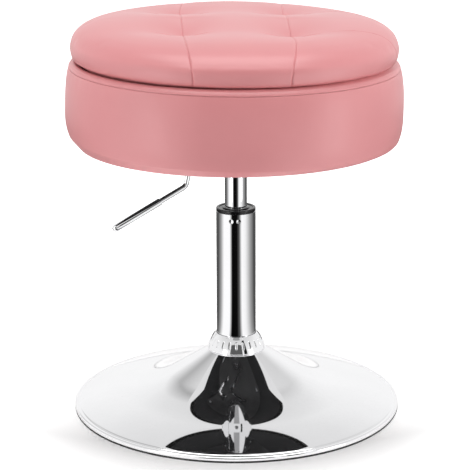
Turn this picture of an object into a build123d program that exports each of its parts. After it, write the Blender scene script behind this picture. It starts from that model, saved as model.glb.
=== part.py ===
from build123d import *
import os
from math import asin, cos, degrees, radians, sin, sqrt, tan

# Swivel stool: a tufted storage seat on a gas-lift column and a trumpet floor plate.
# Millimetres, +Z up, origin on the floor under the column's axis.

# Clearances
running = 0.05
loose = 0.3

# Floor plate
base_radius = 209.0
base_sheet = 2.0
ring_height = 2.5
ring_width = 8.0
rim_height = 7.2
rim_radius = 3.0
rim_lip = 3.0
rim_step = 0.8
edge_angle = 16.5
waist_angle = 10.4
flank_angle = 31.4
dome_radius = 551.0
blend_radius = 176.2

# Column tube and its fixing
tube_radius = 25.0
tube_wall = 1.5
tube_bottom = 16.0
tube_length = 241.0
socket_wall = 3.0
socket_floor = 4.0
socket_hole = 10.0
end_plate_thickness = 6.0
bolt_radius = 3.0
bolt_circle = 17.0
bolt_count = 3
bolt_head_radius = 5.5
bolt_head_height = 4.0
bolt_bite = 5.0
dimple_radius = 4.0
dimple_depth = 0.7
dimple_drop = 9.0
dimple_half_angle = 10.8
dimple_turn = -93.2
dimple_pairs = 3

# Guide bush in the top of the tube
bush_length = 76.0
bush_flange = 4.3
bush_edge = 0.9
bush_groove = 1.0
bush_groove_width = 4.0

# Trim collar over the joint of tube and floor plate
collar_foot = 38.0
collar_height = 20.5
collar_wall = 2.0
collar_neck = 2.0
collar_bulge = 1.5
collar_edge = 1.2
flute_count = 24
flute_length = 8.0
flute_width = 2.2
flute_depth = 0.6

# Thrust bearing and the gas spring's rod
race_radius = 13.0
race_thickness = 2.0
ball_radius = 2.4
ball_circle = 9.0
ball_count = 8
cage_thickness = 2.0
cage_margin = 1.2
rod_radius = 5.0
rod_pin_radius = 4.0
rod_tail = 2.5
washer_radius = 8.0
washer_thickness = 1.5
clip_radius = 6.5
clip_thickness = 1.0
clip_groove = 0.8
bump_radius = 11.0
piston_length = 12.0
piston_neck = 3.0
seal_section = 1.4

# Gas cylinder
lift_down = 38.0
lift_up = 80.0
stop_gap = 1.5
cylinder_radius = 14.0
cylinder_wall = 1.5
cylinder_length = 231.0
cone_length = 28.0
cone_draft = 0.7
gland_length = 25.0
valve_radius = 9.0
valve_length = 34.0
pin_radius = 2.5
pin_rise = 5.0
pin_depth = 24.0
pin_tip = 1.0
lever_angle = 6.0

# Seat plate with its lever well, and the taper socket
hub_radius = 22.0
hub_length = 16.0
hub_gap = 10.5
plate_side = 180.0
plate_corner = 20.0
plate_sheet = 3.0
well_depth = 21.7
well_width = 52.0
well_back = 26.0
well_front = 50.0
well_corner = 6.0
screw_spacing = 150.0
screw_radius = 2.5
screw_head_radius = 5.0
screw_head_height = 2.5
screw_bite = 9.0

# Release lever
lever_azimuth = 210.0
lever_radius = 3.8
lever_gap = 0.3
lever_inner = 4.0
lever_pivot = 34.0
lever_elbow = 62.5
lever_drop = 38.0
lever_lean = 9.3
lever_reach = 169.0
lever_slope = 22.3
lever_bend = 9.0
lever_slot_play = 1.2
boss_radius = 6.0
boss_width = 14.0
pivot_radius = 2.5
pivot_end = 3.0
pivot_clip_radius = 5.0
pivot_clip_thickness = 1.2
grip_radius = 4.75
grip_length = 66.0

# Storage box
seat_radius = 209.6
pad_thickness = 12.6
foot_inset = 4.3
shoulder_inset = 4.4
wall_thickness = 4.0
wall_height = 98.5
floor_thickness = 12.0
lining_thickness = 1.0
dust_thickness = 0.8
wrap_width = 13.0
leather = 1.3
foot_round = 9.0
seam_drop = 7.2
seam_round = 1.4
rim_thickness = 2.7
rim_flat = 3.4
band_skirt = 10.0
band_leather = 1.5

# Lid
lid_gap = 0.3
lid_wrap = 2.0
lid_wrap_width = 16.0
lid_tuck = 9.8
lid_inset = 7.8
lid_crown = 55.0
lid_dome = 1900.0
lid_shoulder = 28.0
lid_board_thickness = 9.0
lid_board_inset = 5.0
lid_ring_play = 5.0
lid_ring_wall = 9.0
lid_ring_depth = 12.0
tuft_half = 67.0
tuft_turn = 2.0
tuft_depth = 12.0
tuft_reach = 30.0
tuft_lip = (0.19, 0.63)
tuft_throat = (0.58, 0.32)
channel_radius = 5.0
channel_depth = 2.2
anchor_radius = 9.0
anchor_stem = 1.5

# Where the middle of a quarter round lies, as a share of its reach
round_share = sqrt(0.5)

# Heights that follow from the sizes above
tube_top = tube_bottom + tube_length
tube_inside = tube_radius - tube_wall
neck_radius = tube_radius + socket_wall
bush_top = tube_top + bush_flange
race_bottom = tube_bottom + end_plate_thickness
ball_height = race_bottom + race_thickness + running + ball_radius
upper_race_bottom = ball_height + ball_radius + running
upper_race_top = upper_race_bottom + race_thickness
hub_bottom = bush_top + lift_down + hub_gap
cylinder_top = hub_bottom + hub_length
cylinder_bottom = cylinder_top - cylinder_length
cylinder_inside = cylinder_radius - cylinder_wall
gland_top = cylinder_bottom + gland_length
bump_top = cylinder_bottom - lift_down - stop_gap
piston_bottom = gland_top + lift_up + stop_gap
piston_top = piston_bottom + piston_length
plate_top = cylinder_top + well_depth
plate_bottom = plate_top - plate_sheet
lever_height = cylinder_top + pin_rise + lever_gap + lever_radius
board_bottom = plate_top + dust_thickness
board_top = board_bottom + floor_thickness
wall_outside = seat_radius - pad_thickness
box_inside = wall_outside - wall_thickness
dust_radius = wall_outside - wrap_width
foot_radius = seat_radius - foot_inset
shoulder_radius = seat_radius - shoulder_inset
wall_top = board_bottom + wall_height
rim_top = wall_top + rim_thickness
seam_height = rim_top - seam_drop
box_bottom = board_bottom - leather
lining_top = wall_top - band_skirt
lid_bottom = rim_top + lid_gap
lid_board_bottom = lid_bottom + lid_wrap
lid_board_top = lid_board_bottom + lid_board_thickness
lid_top = lid_bottom + lid_crown
lid_radius = seat_radius - lid_inset
lid_flat_radius = lid_radius - lid_tuck
lid_wrap_inner = lid_flat_radius - lid_wrap_width
lid_board_radius = lid_flat_radius - lid_board_inset
lid_ring_outer = box_inside - lid_ring_play
lid_ring_inner = lid_ring_outer - lid_ring_wall

# Directions of the lever: u runs out along it, v across it
lever_u = Vector(cos(radians(lever_azimuth)), sin(radians(lever_azimuth)), 0)
lever_v = Vector(-sin(radians(lever_azimuth)), cos(radians(lever_azimuth)), 0)
lever_plane = Plane(origin=(0, 0, 0), x_dir=lever_u, z_dir=lever_u.cross(Vector(0, 0, 1)))


def level(height):
    """Horizontal plane at a height whose x runs out along the lever."""
    return Plane(origin=(0, 0, height), x_dir=lever_u, z_dir=(0, 0, 1))


# The floor plate's outline: a dome at the rim, a hollow blend, and a straight flank up to the neck.
# A slope is the outline's angle to the floor, and depth is measured into the sheet.
dome_edge = (base_radius - rim_radius - rim_lip, rim_height + rim_step)
dome_centre = (
    dome_edge[0] - dome_radius * sin(radians(edge_angle)),
    dome_edge[1] - dome_radius * cos(radians(edge_angle)),
)


def dome_point(slope, depth):
    reach = dome_radius - depth
    return (
        dome_centre[0] + reach * sin(radians(slope)),
        dome_centre[1] + reach * cos(radians(slope)),
    )


waist = dome_point(waist_angle, 0)
blend_centre = (
    waist[0] + blend_radius * sin(radians(waist_angle)),
    waist[1] + blend_radius * cos(radians(waist_angle)),
)


def blend_point(slope, depth):
    reach = blend_radius + depth
    return (
        blend_centre[0] - reach * sin(radians(slope)),
        blend_centre[1] - reach * cos(radians(slope)),
    )


def flank_height(radius, depth=0.0):
    start = blend_point(flank_angle, depth)
    return start[1] + (start[0] - radius) * tan(radians(flank_angle))


def flank_curves(depth):
    """The outline from the neck to the dome's edge, at a depth in the sheet."""
    blend_middle = (flank_angle + waist_angle) / 2
    dome_middle = (waist_angle + edge_angle) / 2
    Line((neck_radius, flank_height(neck_radius, depth)), blend_point(flank_angle, depth))
    ThreePointArc(
        blend_point(flank_angle, depth),
        blend_point(blend_middle, depth),
        blend_point(waist_angle, depth),
    )
    ThreePointArc(
        dome_point(waist_angle, depth),
        dome_point(dome_middle, depth),
        dome_point(edge_angle, depth),
    )


pieces = {}

# Floor plate shell, spun from sheet
rim_corner = rim_height - rim_radius
with BuildPart() as base_shell:
    with BuildSketch(Plane.XZ):
        with BuildLine():
            flank_curves(0)
            Polyline(
                dome_edge,
                (dome_edge[0] + rim_step, rim_height),
                (base_radius - rim_radius, rim_height),
            )
            RadiusArc(
                (base_radius - rim_radius, rim_height), (base_radius, rim_corner), rim_radius
            )
            Polyline(
                (base_radius, rim_corner),
                (base_radius, ring_height),
                (base_radius - base_sheet, ring_height),
                (base_radius - base_sheet, rim_corner),
                (base_radius - rim_radius, rim_height - base_sheet),
                dome_point(edge_angle, base_sheet),
            )
            flank_curves(base_sheet)
            Line(
                (neck_radius, flank_height(neck_radius, base_sheet)),
                (neck_radius, flank_height(neck_radius)),
            )
        make_face()
    revolve(axis=Axis.Z)
pieces["base_shell"] = base_shell

# Rubber ring under the rim
with BuildPart() as floor_ring:
    with BuildSketch():
        Circle(base_radius)
        Circle(base_radius - ring_width, mode=Mode.SUBTRACT)
    extrude(amount=ring_height)
    with BuildSketch(Plane.XY.offset(ring_height)):
        Circle(base_radius - base_sheet)
        Circle(base_radius - 2 * base_sheet, mode=Mode.SUBTRACT)
    extrude(amount=rim_corner - ring_height)
pieces["floor_ring"] = floor_ring

# Steel cup in the neck that holds the column
socket_bottom = tube_bottom - socket_floor
with BuildPart() as neck_socket:
    with BuildSketch(Plane.XY.offset(socket_bottom)):
        Circle(neck_radius)
        Circle(socket_hole, mode=Mode.SUBTRACT)
        with PolarLocations(bolt_circle, bolt_count):
            Circle(bolt_radius + loose, mode=Mode.SUBTRACT)
    extrude(amount=socket_floor)
    with BuildSketch(Plane.XY.offset(tube_bottom)):
        Circle(neck_radius)
        Circle(tube_radius, mode=Mode.SUBTRACT)
    extrude(amount=flank_height(neck_radius) - tube_bottom)
pieces["neck_socket"] = neck_socket

# Column tube, staked into the bush by pairs of dimples
dimple_axis = tube_radius + dimple_radius - dimple_depth
dimple_height = tube_top - dimple_drop
with BuildPart() as column_tube:
    with BuildSketch(Plane.XY.offset(tube_bottom)):
        Circle(tube_radius)
        Circle(tube_inside, mode=Mode.SUBTRACT)
    extrude(amount=tube_length)
    with Locations((0, 0, dimple_height)):
        for side in (-1, 1):
            turn = dimple_turn + side * dimple_half_angle
            with PolarLocations(dimple_axis, dimple_pairs, start_angle=turn):
                Sphere(dimple_radius, mode=Mode.SUBTRACT)
pieces["column_tube"] = column_tube

# Plate in the bottom of the tube, with the rod's bearing hole and threaded holes
with BuildPart() as tube_end_plate:
    with BuildSketch(Plane.XY.offset(tube_bottom)):
        Circle(tube_inside)
        Circle(rod_pin_radius + running, mode=Mode.SUBTRACT)
        with PolarLocations(bolt_circle, bolt_count):
            Circle(bolt_radius, mode=Mode.SUBTRACT)
    extrude(amount=end_plate_thickness)
pieces["tube_end_plate"] = tube_end_plate

# Hexagon bolts up through the cup into the end plate
with BuildPart() as column_bolts:
    with BuildSketch(Plane.XY.offset(socket_bottom - bolt_head_height)):
        with PolarLocations(bolt_circle, bolt_count):
            RegularPolygon(bolt_head_radius, 6)
    extrude(amount=bolt_head_height)
    with BuildSketch(Plane.XY.offset(socket_bottom)):
        with PolarLocations(bolt_circle, bolt_count):
            Circle(bolt_radius)
    extrude(amount=socket_floor + bolt_bite)
pieces["column_bolts"] = column_bolts

# Guide bush with a flange on the tube's end and a ring groove in its top
bush_bore = cylinder_radius + running
groove_middle = (bush_bore + tube_radius) / 2
with BuildPart() as guide_bush:
    with BuildSketch(Plane.XY.offset(tube_top - bush_length)):
        Circle(tube_inside)
        Circle(bush_bore, mode=Mode.SUBTRACT)
    extrude(amount=bush_length)
    with BuildSketch(Plane.XY.offset(tube_top)):
        Circle(tube_radius)
        Circle(bush_bore, mode=Mode.SUBTRACT)
    extrude(amount=bush_flange)
    flange_edges = guide_bush.edges().filter_by(GeomType.CIRCLE).group_by(Axis.Z)[-1]
    fillet(flange_edges.sort_by(SortBy.RADIUS)[-1], radius=bush_edge)
    with BuildSketch(Plane.XY.offset(bush_top)):
        Circle(groove_middle + bush_groove_width / 2)
        Circle(groove_middle - bush_groove_width / 2, mode=Mode.SUBTRACT)
    extrude(amount=-bush_groove, mode=Mode.SUBTRACT)
pieces["guide_bush"] = guide_bush

# Trim collar: a conical ring that slides down the tube onto the flank, with moulded flutes
collar_inner_foot = collar_foot - collar_wall
collar_bottom = flank_height(collar_inner_foot)
collar_top = collar_bottom + collar_height
collar_bore = tube_radius + loose
collar_crown = collar_bore + collar_neck
collar_low = collar_bottom + collar_edge
collar_slant = Vector(collar_crown - collar_foot, 0, collar_top - collar_low)
collar_out = Vector(collar_slant.Z, 0, -collar_slant.X).normalized()
collar_middle = Vector((collar_foot + collar_crown) / 2, 0, (collar_low + collar_top) / 2)
collar_face = collar_middle + collar_out * collar_bulge
with BuildPart() as trim_collar:
    with BuildSketch(Plane.XZ):
        with BuildLine():
            Polyline(
                (collar_inner_foot, collar_bottom),
                (collar_foot - collar_edge, collar_bottom),
            )
            RadiusArc(
                (collar_foot - collar_edge, collar_bottom), (collar_foot, collar_low), -collar_edge
            )
            ThreePointArc(
                (collar_foot, collar_low), (collar_face.X, collar_face.Z), (collar_crown, collar_top)
            )
            Polyline(
                (collar_crown, collar_top),
                (collar_bore, collar_top),
                (collar_bore, collar_top - 2 * collar_wall),
                (collar_inner_foot, collar_bottom + collar_wall),
                (collar_inner_foot, collar_bottom),
            )
        make_face()
    revolve(axis=Axis.Z)
    for flute in range(flute_count):
        flute_turn = Rotation(0, 0, 360.0 * flute / flute_count)
        flute_plane = Plane(
            origin=collar_face, x_dir=collar_slant.normalized(), z_dir=collar_out
        )
        with BuildSketch(flute_turn * flute_plane):
            SlotOverall(flute_length, flute_width)
        extrude(amount=flute_depth, both=True, mode=Mode.SUBTRACT)
pieces["trim_collar"] = trim_collar

# Thrust bearing: lower washer on the end plate
with BuildPart() as lower_race:
    with BuildSketch(Plane.XY.offset(race_bottom)):
        Circle(race_radius)
        Circle(rod_pin_radius + loose, mode=Mode.SUBTRACT)
    extrude(amount=race_thickness)
pieces["lower_race"] = lower_race

# Ball cage
with BuildPart() as ball_cage:
    with BuildSketch(Plane.XY.offset(ball_height - cage_thickness / 2)):
        Circle(ball_circle + ball_radius + cage_margin)
        Circle(ball_circle - ball_radius - cage_margin, mode=Mode.SUBTRACT)
        with PolarLocations(ball_circle, ball_count):
            Circle(ball_radius + running, mode=Mode.SUBTRACT)
    extrude(amount=cage_thickness)
pieces["ball_cage"] = ball_cage

# Bearing balls
with BuildPart() as bearing_balls:
    with Locations((0, 0, ball_height)):
        with PolarLocations(ball_circle, ball_count):
            Sphere(ball_radius)
pieces["bearing_balls"] = bearing_balls

# Upper washer, under the rod's shoulder
with BuildPart() as upper_race:
    with BuildSketch(Plane.XY.offset(upper_race_bottom)):
        Circle(race_radius)
        Circle(rod_pin_radius, mode=Mode.SUBTRACT)
    extrude(amount=race_thickness)
pieces["upper_race"] = upper_race

# Rubber bump stop for the cylinder's lowest place
with BuildPart() as bump_stop:
    with BuildSketch(Plane.XY.offset(upper_race_top)):
        Circle(bump_radius)
        Circle(rod_radius, mode=Mode.SUBTRACT)
    extrude(amount=bump_top - upper_race_top)
pieces["bump_stop"] = bump_stop

# Rod of the gas spring, with its bearing pin and clip groove below and the piston's neck above
washer_top = tube_bottom - loose
clip_top = washer_top - washer_thickness
clip_bottom = clip_top - clip_thickness
rod_bottom = clip_bottom - rod_tail
groove_radius = rod_pin_radius - clip_groove
with BuildPart() as piston_rod:
    with BuildSketch(Plane.XZ):
        with BuildLine():
            Polyline(
                (0, rod_bottom),
                (rod_pin_radius, rod_bottom),
                (rod_pin_radius, clip_bottom),
                (groove_radius, clip_bottom),
                (groove_radius, clip_top),
                (rod_pin_radius, clip_top),
                (rod_pin_radius, upper_race_top),
                (rod_radius, upper_race_top),
                (rod_radius, piston_bottom),
                (rod_pin_radius, piston_bottom),
                (rod_pin_radius, piston_top + piston_neck),
                (0, piston_top + piston_neck),
                close=True,
            )
        make_face()
    revolve(axis=Axis.Z)
pieces["piston_rod"] = piston_rod

# Piston with a groove for its seal
piston_radius = cylinder_inside - running
seal_height = (piston_bottom + piston_top) / 2
seal_ring = piston_radius - seal_section
with BuildPart() as piston:
    with BuildSketch(Plane.XY.offset(piston_bottom)):
        Circle(piston_radius)
        Circle(rod_pin_radius, mode=Mode.SUBTRACT)
    extrude(amount=piston_length)
    with BuildSketch(Plane.XY.offset(seal_height - seal_section)):
        Circle(piston_radius)
        Circle(seal_ring - seal_section, mode=Mode.SUBTRACT)
    extrude(amount=2 * seal_section, mode=Mode.SUBTRACT)
pieces["piston"] = piston

# Seal ring in the piston's groove
with BuildPart() as piston_seal:
    with BuildSketch(Plane.XZ):
        with Locations((seal_ring, seal_height)):
            Circle(seal_section)
    revolve(axis=Axis.Z)
pieces["piston_seal"] = piston_seal

# Washer and clip that keep the rod in the end plate
with BuildPart() as rod_washer:
    with BuildSketch(Plane.XY.offset(clip_top)):
        Circle(washer_radius)
        Circle(rod_pin_radius, mode=Mode.SUBTRACT)
    extrude(amount=washer_thickness)
pieces["rod_washer"] = rod_washer

with BuildPart() as rod_clip:
    with BuildSketch(Plane.XY.offset(clip_bottom)):
        Circle(clip_radius)
        Circle(groove_radius, mode=Mode.SUBTRACT)
        with Locations((clip_radius, 0)):
            Rectangle(2 * clip_radius, groove_radius, mode=Mode.SUBTRACT)
    extrude(amount=clip_thickness)
pieces["rod_clip"] = rod_clip

# Gas cylinder with a tapered top
cone_start = cylinder_top - cone_length
valve_bottom = cylinder_top - valve_length


def cone_radius(height):
    return cylinder_radius - cone_draft * (height - cone_start) / cone_length


with BuildPart() as gas_cylinder:
    with BuildSketch(Plane.XZ):
        with BuildLine():
            Polyline(
                (cylinder_inside, cylinder_bottom),
                (cylinder_radius, cylinder_bottom),
                (cylinder_radius, cone_start),
                (cone_radius(cylinder_top), cylinder_top),
                (valve_radius, cylinder_top),
                (valve_radius, valve_bottom),
                (cylinder_inside, valve_bottom),
                close=True,
            )
        make_face()
    revolve(axis=Axis.Z)
pieces["gas_cylinder"] = gas_cylinder

# Plug at the lower end that the rod slides through
with BuildPart() as rod_gland:
    with BuildSketch(Plane.XY.offset(cylinder_bottom)):
        Circle(cylinder_inside)
        Circle(rod_radius + running, mode=Mode.SUBTRACT)
    extrude(amount=gland_length)
pieces["rod_gland"] = rod_gland

# Valve plug in the upper end, bored for the release pin
pin_travel = lever_pivot * radians(lever_angle)
pin_bottom = cylinder_top - pin_depth
with BuildPart() as valve_body:
    with BuildSketch(Plane.XY.offset(valve_bottom)):
        Circle(valve_radius)
    extrude(amount=valve_length)
    with BuildSketch(Plane.XY.offset(cylinder_top)):
        Circle(pin_radius + running)
    extrude(amount=-(pin_depth + pin_travel + loose), mode=Mode.SUBTRACT)
pieces["valve_body"] = valve_body

# Release pin
with BuildPart() as release_pin:
    with BuildSketch(Plane.XY.offset(pin_bottom)):
        Circle(pin_radius)
    extrude(amount=pin_depth + pin_rise)
    chamfer(release_pin.edges().group_by(Axis.Z)[-1], length=pin_tip)
pieces["release_pin"] = release_pin

# Tapered hub on the cylinder's cone
with BuildPart() as taper_socket:
    with BuildSketch(Plane.XZ):
        with BuildLine():
            Polyline(
                (cone_radius(hub_bottom), hub_bottom),
                (hub_radius, hub_bottom),
                (hub_radius, cylinder_top),
                (cone_radius(cylinder_top), cylinder_top),
                close=True,
            )
        make_face()
    revolve(axis=Axis.Z)
pieces["taper_socket"] = taper_socket

# Pressed plate under the box: flange, lever well, hub hole, lever slot and pivot holes
well_middle = (well_front - well_back) / 2
well_length = well_front + well_back
slot_width = 2 * (lever_radius + lever_slot_play)
slot_rise = (well_front + plate_sheet - lever_pivot) * tan(radians(lever_angle))
slot_height = slot_width + slot_rise
pivot_centre = lever_u * lever_pivot + Vector(0, 0, lever_height)
pivot_plane = Plane(origin=pivot_centre, x_dir=lever_u, z_dir=lever_v)
with BuildPart() as seat_plate:
    with BuildSketch(level(plate_bottom)):
        RectangleRounded(plate_side, plate_side, plate_corner)
        with GridLocations(screw_spacing, screw_spacing, 2, 2):
            Circle(screw_radius, mode=Mode.SUBTRACT)
    extrude(amount=plate_sheet)
    with BuildSketch(level(cylinder_top - plate_sheet)):
        with Locations((well_middle, 0)):
            RectangleRounded(
                well_length + 2 * plate_sheet, well_width + 2 * plate_sheet, well_corner + plate_sheet
            )
    extrude(amount=well_depth + plate_sheet)
    with BuildSketch(level(cylinder_top)):
        with Locations((well_middle, 0)):
            RectangleRounded(well_length, well_width, well_corner)
    extrude(amount=well_depth, mode=Mode.SUBTRACT)
    with BuildSketch(level(cylinder_top)):
        Circle(hub_radius)
    extrude(amount=-plate_sheet, mode=Mode.SUBTRACT)
    with BuildSketch(Plane(origin=lever_u * well_front, x_dir=lever_v, z_dir=lever_u)):
        with Locations((0, lever_height + slot_rise / 2)):
            SlotOverall(slot_height, slot_width, rotation=90)
    extrude(amount=plate_sheet, mode=Mode.SUBTRACT)
    with BuildSketch(pivot_plane):
        Circle(pivot_radius)
    extrude(amount=well_width, both=True, mode=Mode.SUBTRACT)
pieces["seat_plate"] = seat_plate

# Lever's pivot pin across the well, and the clips on its ends
pivot_half = well_width / 2 + plate_sheet
with BuildPart() as pivot_pin:
    with BuildSketch(pivot_plane):
        Circle(pivot_radius)
    extrude(amount=pivot_half + pivot_end, both=True)
pieces["pivot_pin"] = pivot_pin

with BuildPart() as pivot_clips:
    for side in (-1, 1):
        with BuildSketch(pivot_plane.offset(side * pivot_half)):
            Circle(pivot_clip_radius)
            Circle(pivot_radius, mode=Mode.SUBTRACT)
        extrude(amount=side * pivot_clip_thickness)
pieces["pivot_clips"] = pivot_clips

# Wood screws through the plate into the box's floor
with BuildPart() as plate_screws:
    with BuildSketch(level(plate_bottom - screw_head_height)):
        with GridLocations(screw_spacing, screw_spacing, 2, 2):
            Circle(screw_head_radius)
    extrude(amount=screw_head_height)
    fillet(plate_screws.edges().group_by(Axis.Z)[0], radius=screw_head_height / 2)
    with BuildSketch(level(plate_bottom)):
        with GridLocations(screw_spacing, screw_spacing, 2, 2):
            Circle(screw_radius)
    extrude(amount=plate_sheet + dust_thickness + screw_bite)
pieces["plate_screws"] = plate_screws

# Lever rod: from over the pin, out through the well, down beside it and out to the grip
elbow = (lever_elbow, lever_height)
knee = (lever_elbow + lever_lean, lever_height - lever_drop)
tip = (lever_reach, knee[1] - (lever_reach - knee[0]) * tan(radians(lever_slope)))
grip_axis = lever_u * cos(radians(lever_slope)) - Vector(0, 0, sin(radians(lever_slope)))
grip_end = lever_u * tip[0] + Vector(0, 0, tip[1])
with BuildPart() as lever_rod:
    with BuildLine(lever_plane) as lever_path:
        FilletPolyline((-lever_inner, lever_height), elbow, knee, tip, radius=lever_bend)
    with BuildSketch(Plane(origin=lever_path.line @ 0, z_dir=lever_path.line % 0)):
        Circle(lever_radius)
    sweep()
    with BuildSketch(pivot_plane):
        Circle(boss_radius)
    extrude(amount=boss_width / 2, both=True)
    with BuildSketch(pivot_plane):
        Circle(pivot_radius + running)
    extrude(amount=boss_width, both=True, mode=Mode.SUBTRACT)
pieces["lever_rod"] = lever_rod

# Sleeve grip with a round end, slipped over the rod
grip_start = grip_end - grip_axis * grip_length
with BuildPart() as lever_grip:
    with BuildSketch(Plane(origin=grip_start, z_dir=grip_axis)):
        Circle(grip_radius)
    extrude(amount=grip_length)
    with Locations(Plane(origin=grip_end, z_dir=grip_axis)):
        Sphere(grip_radius)
    with BuildSketch(Plane(origin=grip_start, z_dir=grip_axis)):
        Circle(lever_radius)
    extrude(amount=grip_length, mode=Mode.SUBTRACT)
pieces["lever_grip"] = lever_grip

# Black cloth under the box, inside the wrapped edge of the cover
with BuildPart() as dust_cover:
    with BuildSketch(level(plate_top)):
        Circle(dust_radius)
        with GridLocations(screw_spacing, screw_spacing, 2, 2):
            Circle(screw_radius, mode=Mode.SUBTRACT)
    extrude(amount=dust_thickness)
pieces["dust_cover"] = dust_cover

# Box floor board with the screws' pilot holes
with BuildPart() as box_floor:
    with BuildSketch(Plane.XY.offset(board_bottom)):
        Circle(box_inside)
    extrude(amount=floor_thickness)
    with BuildSketch(level(board_bottom)):
        with GridLocations(screw_spacing, screw_spacing, 2, 2):
            Circle(screw_radius)
    extrude(amount=screw_bite, mode=Mode.SUBTRACT)
pieces["box_floor"] = box_floor

# Bent board wall
with BuildPart() as box_wall:
    with BuildSketch(Plane.XY.offset(board_bottom)):
        Circle(wall_outside)
        Circle(box_inside, mode=Mode.SUBTRACT)
    extrude(amount=wall_height)
pieces["box_wall"] = box_wall

# Cloth linings inside the box
lining_floor = board_top + lining_thickness
with BuildPart() as floor_lining:
    with BuildSketch(Plane.XY.offset(board_top)):
        Circle(box_inside)
    extrude(amount=lining_thickness)
pieces["floor_lining"] = floor_lining

with BuildPart() as box_lining:
    with BuildSketch(Plane.XY.offset(lining_floor)):
        Circle(box_inside)
        Circle(box_inside - lining_thickness, mode=Mode.SUBTRACT)
    extrude(amount=lining_top - lining_floor)
pieces["box_lining"] = box_lining


# The box's padded side: foot rounding, swelling belly, and a drawn-in seam near the top
def side_curves(depth):
    """The box's outline from its foot to its seam, at a depth under the leather."""
    foot_corner = box_bottom + foot_round
    belly_height = (foot_corner + seam_height) / 2
    foot_side = foot_radius - depth
    foot_low = box_bottom + depth
    ThreePointArc(
        (wall_outside, foot_low),
        (
            wall_outside + (foot_side - wall_outside) * round_share,
            foot_low + (foot_corner - foot_low) * (1 - round_share),
        ),
        (foot_side, foot_corner),
    )
    ThreePointArc(
        (foot_side, foot_corner),
        (seat_radius - depth, belly_height),
        (shoulder_radius - depth, seam_height - seam_round),
    )
    RadiusArc(
        (shoulder_radius - depth, seam_height - seam_round),
        (shoulder_radius - seam_round - depth, seam_height),
        -seam_round,
    )


# Foam round the wall
with BuildPart() as box_foam:
    with BuildSketch(Plane.XZ):
        with BuildLine():
            side_curves(leather)
            Polyline(
                (shoulder_radius - seam_round - leather, seam_height),
                (wall_outside, seam_height),
                (wall_outside, box_bottom + leather),
            )
        make_face()
    revolve(axis=Axis.Z)
pieces["box_foam"] = box_foam

# Leatherette cover over the foam, wrapped under the floor board
with BuildPart() as box_cover:
    with BuildSketch(Plane.XZ):
        with BuildLine():
            side_curves(0)
            Line(
                (shoulder_radius - seam_round, seam_height),
                (shoulder_radius - seam_round - leather, seam_height),
            )
            side_curves(leather)
            Polyline(
                (wall_outside, box_bottom + leather),
                (dust_radius, box_bottom + leather),
                (dust_radius, box_bottom),
                (wall_outside, box_bottom),
            )
        make_face()
    revolve(axis=Axis.Z)
pieces["box_cover"] = box_cover

# Leatherette band from the seam over the box's rim and down inside
band_outer = shoulder_radius - seam_round
band_inner = box_inside - band_leather
flat_edge = (wall_outside + box_inside + rim_flat) / 2
with BuildPart() as rim_band:
    with BuildSketch(Plane.XZ):
        with BuildLine():
            Line((wall_outside, seam_height), (band_outer, seam_height))
            ThreePointArc(
                (band_outer, seam_height),
                (
                    flat_edge + (band_outer - flat_edge) * round_share,
                    seam_height + seam_drop * round_share,
                ),
                (flat_edge, rim_top),
            )
            Polyline(
                (flat_edge, rim_top),
                (flat_edge - rim_flat, rim_top),
                (band_inner, wall_top),
                (band_inner, lining_top),
                (box_inside, lining_top),
                (box_inside, wall_top),
                (wall_outside, wall_top),
                (wall_outside, seam_height),
            )
        make_face()
    revolve(axis=Axis.Z)
pieces["rim_band"] = rim_band

# Lid outline: flat foot, drawn-in lower edge, round shoulder and a crowned top
shoulder_centre_radius = lid_radius - lid_shoulder
shoulder_lean = shoulder_centre_radius / (lid_dome - lid_shoulder)
dome_base = lid_top - lid_dome
shoulder_height = dome_base + (lid_dome - lid_shoulder) * sqrt(1 - shoulder_lean**2)
tuft_angles = [tuft_turn + 90.0 * quarter for quarter in range(4)]
channel_arc = asin(lid_radius / lid_dome)


def dome_surface(x, y, depth):
    """Height of the lid's crown over a point, at a depth under the leather."""
    return dome_base + sqrt((lid_dome - depth) ** 2 - x**2 - y**2)


def lid_curves(depth):
    """The lid's outline from its foot up to the crown, at a depth under the leather."""
    side = lid_radius - depth
    foot = lid_flat_radius - depth
    low = lid_bottom + depth
    round_reach = lid_shoulder - depth
    join = (
        shoulder_centre_radius + round_reach * shoulder_lean,
        shoulder_height + round_reach * sqrt(1 - shoulder_lean**2),
    )
    middle_lean = (1 + shoulder_lean) / 2
    low_middle = (
        foot + (side - foot) * round_share,
        low + (shoulder_height - low) * (1 - round_share),
    )
    ThreePointArc((foot, low), low_middle, (side, shoulder_height))
    ThreePointArc(
        (side, shoulder_height),
        (
            shoulder_centre_radius + round_reach * middle_lean,
            shoulder_height + round_reach * sqrt(1 - middle_lean**2),
        ),
        join,
    )
    ThreePointArc(
        join,
        (join[0] / 2, dome_surface(join[0] / 2, 0, depth)),
        (0, dome_base + lid_dome - depth),
    )


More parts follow.
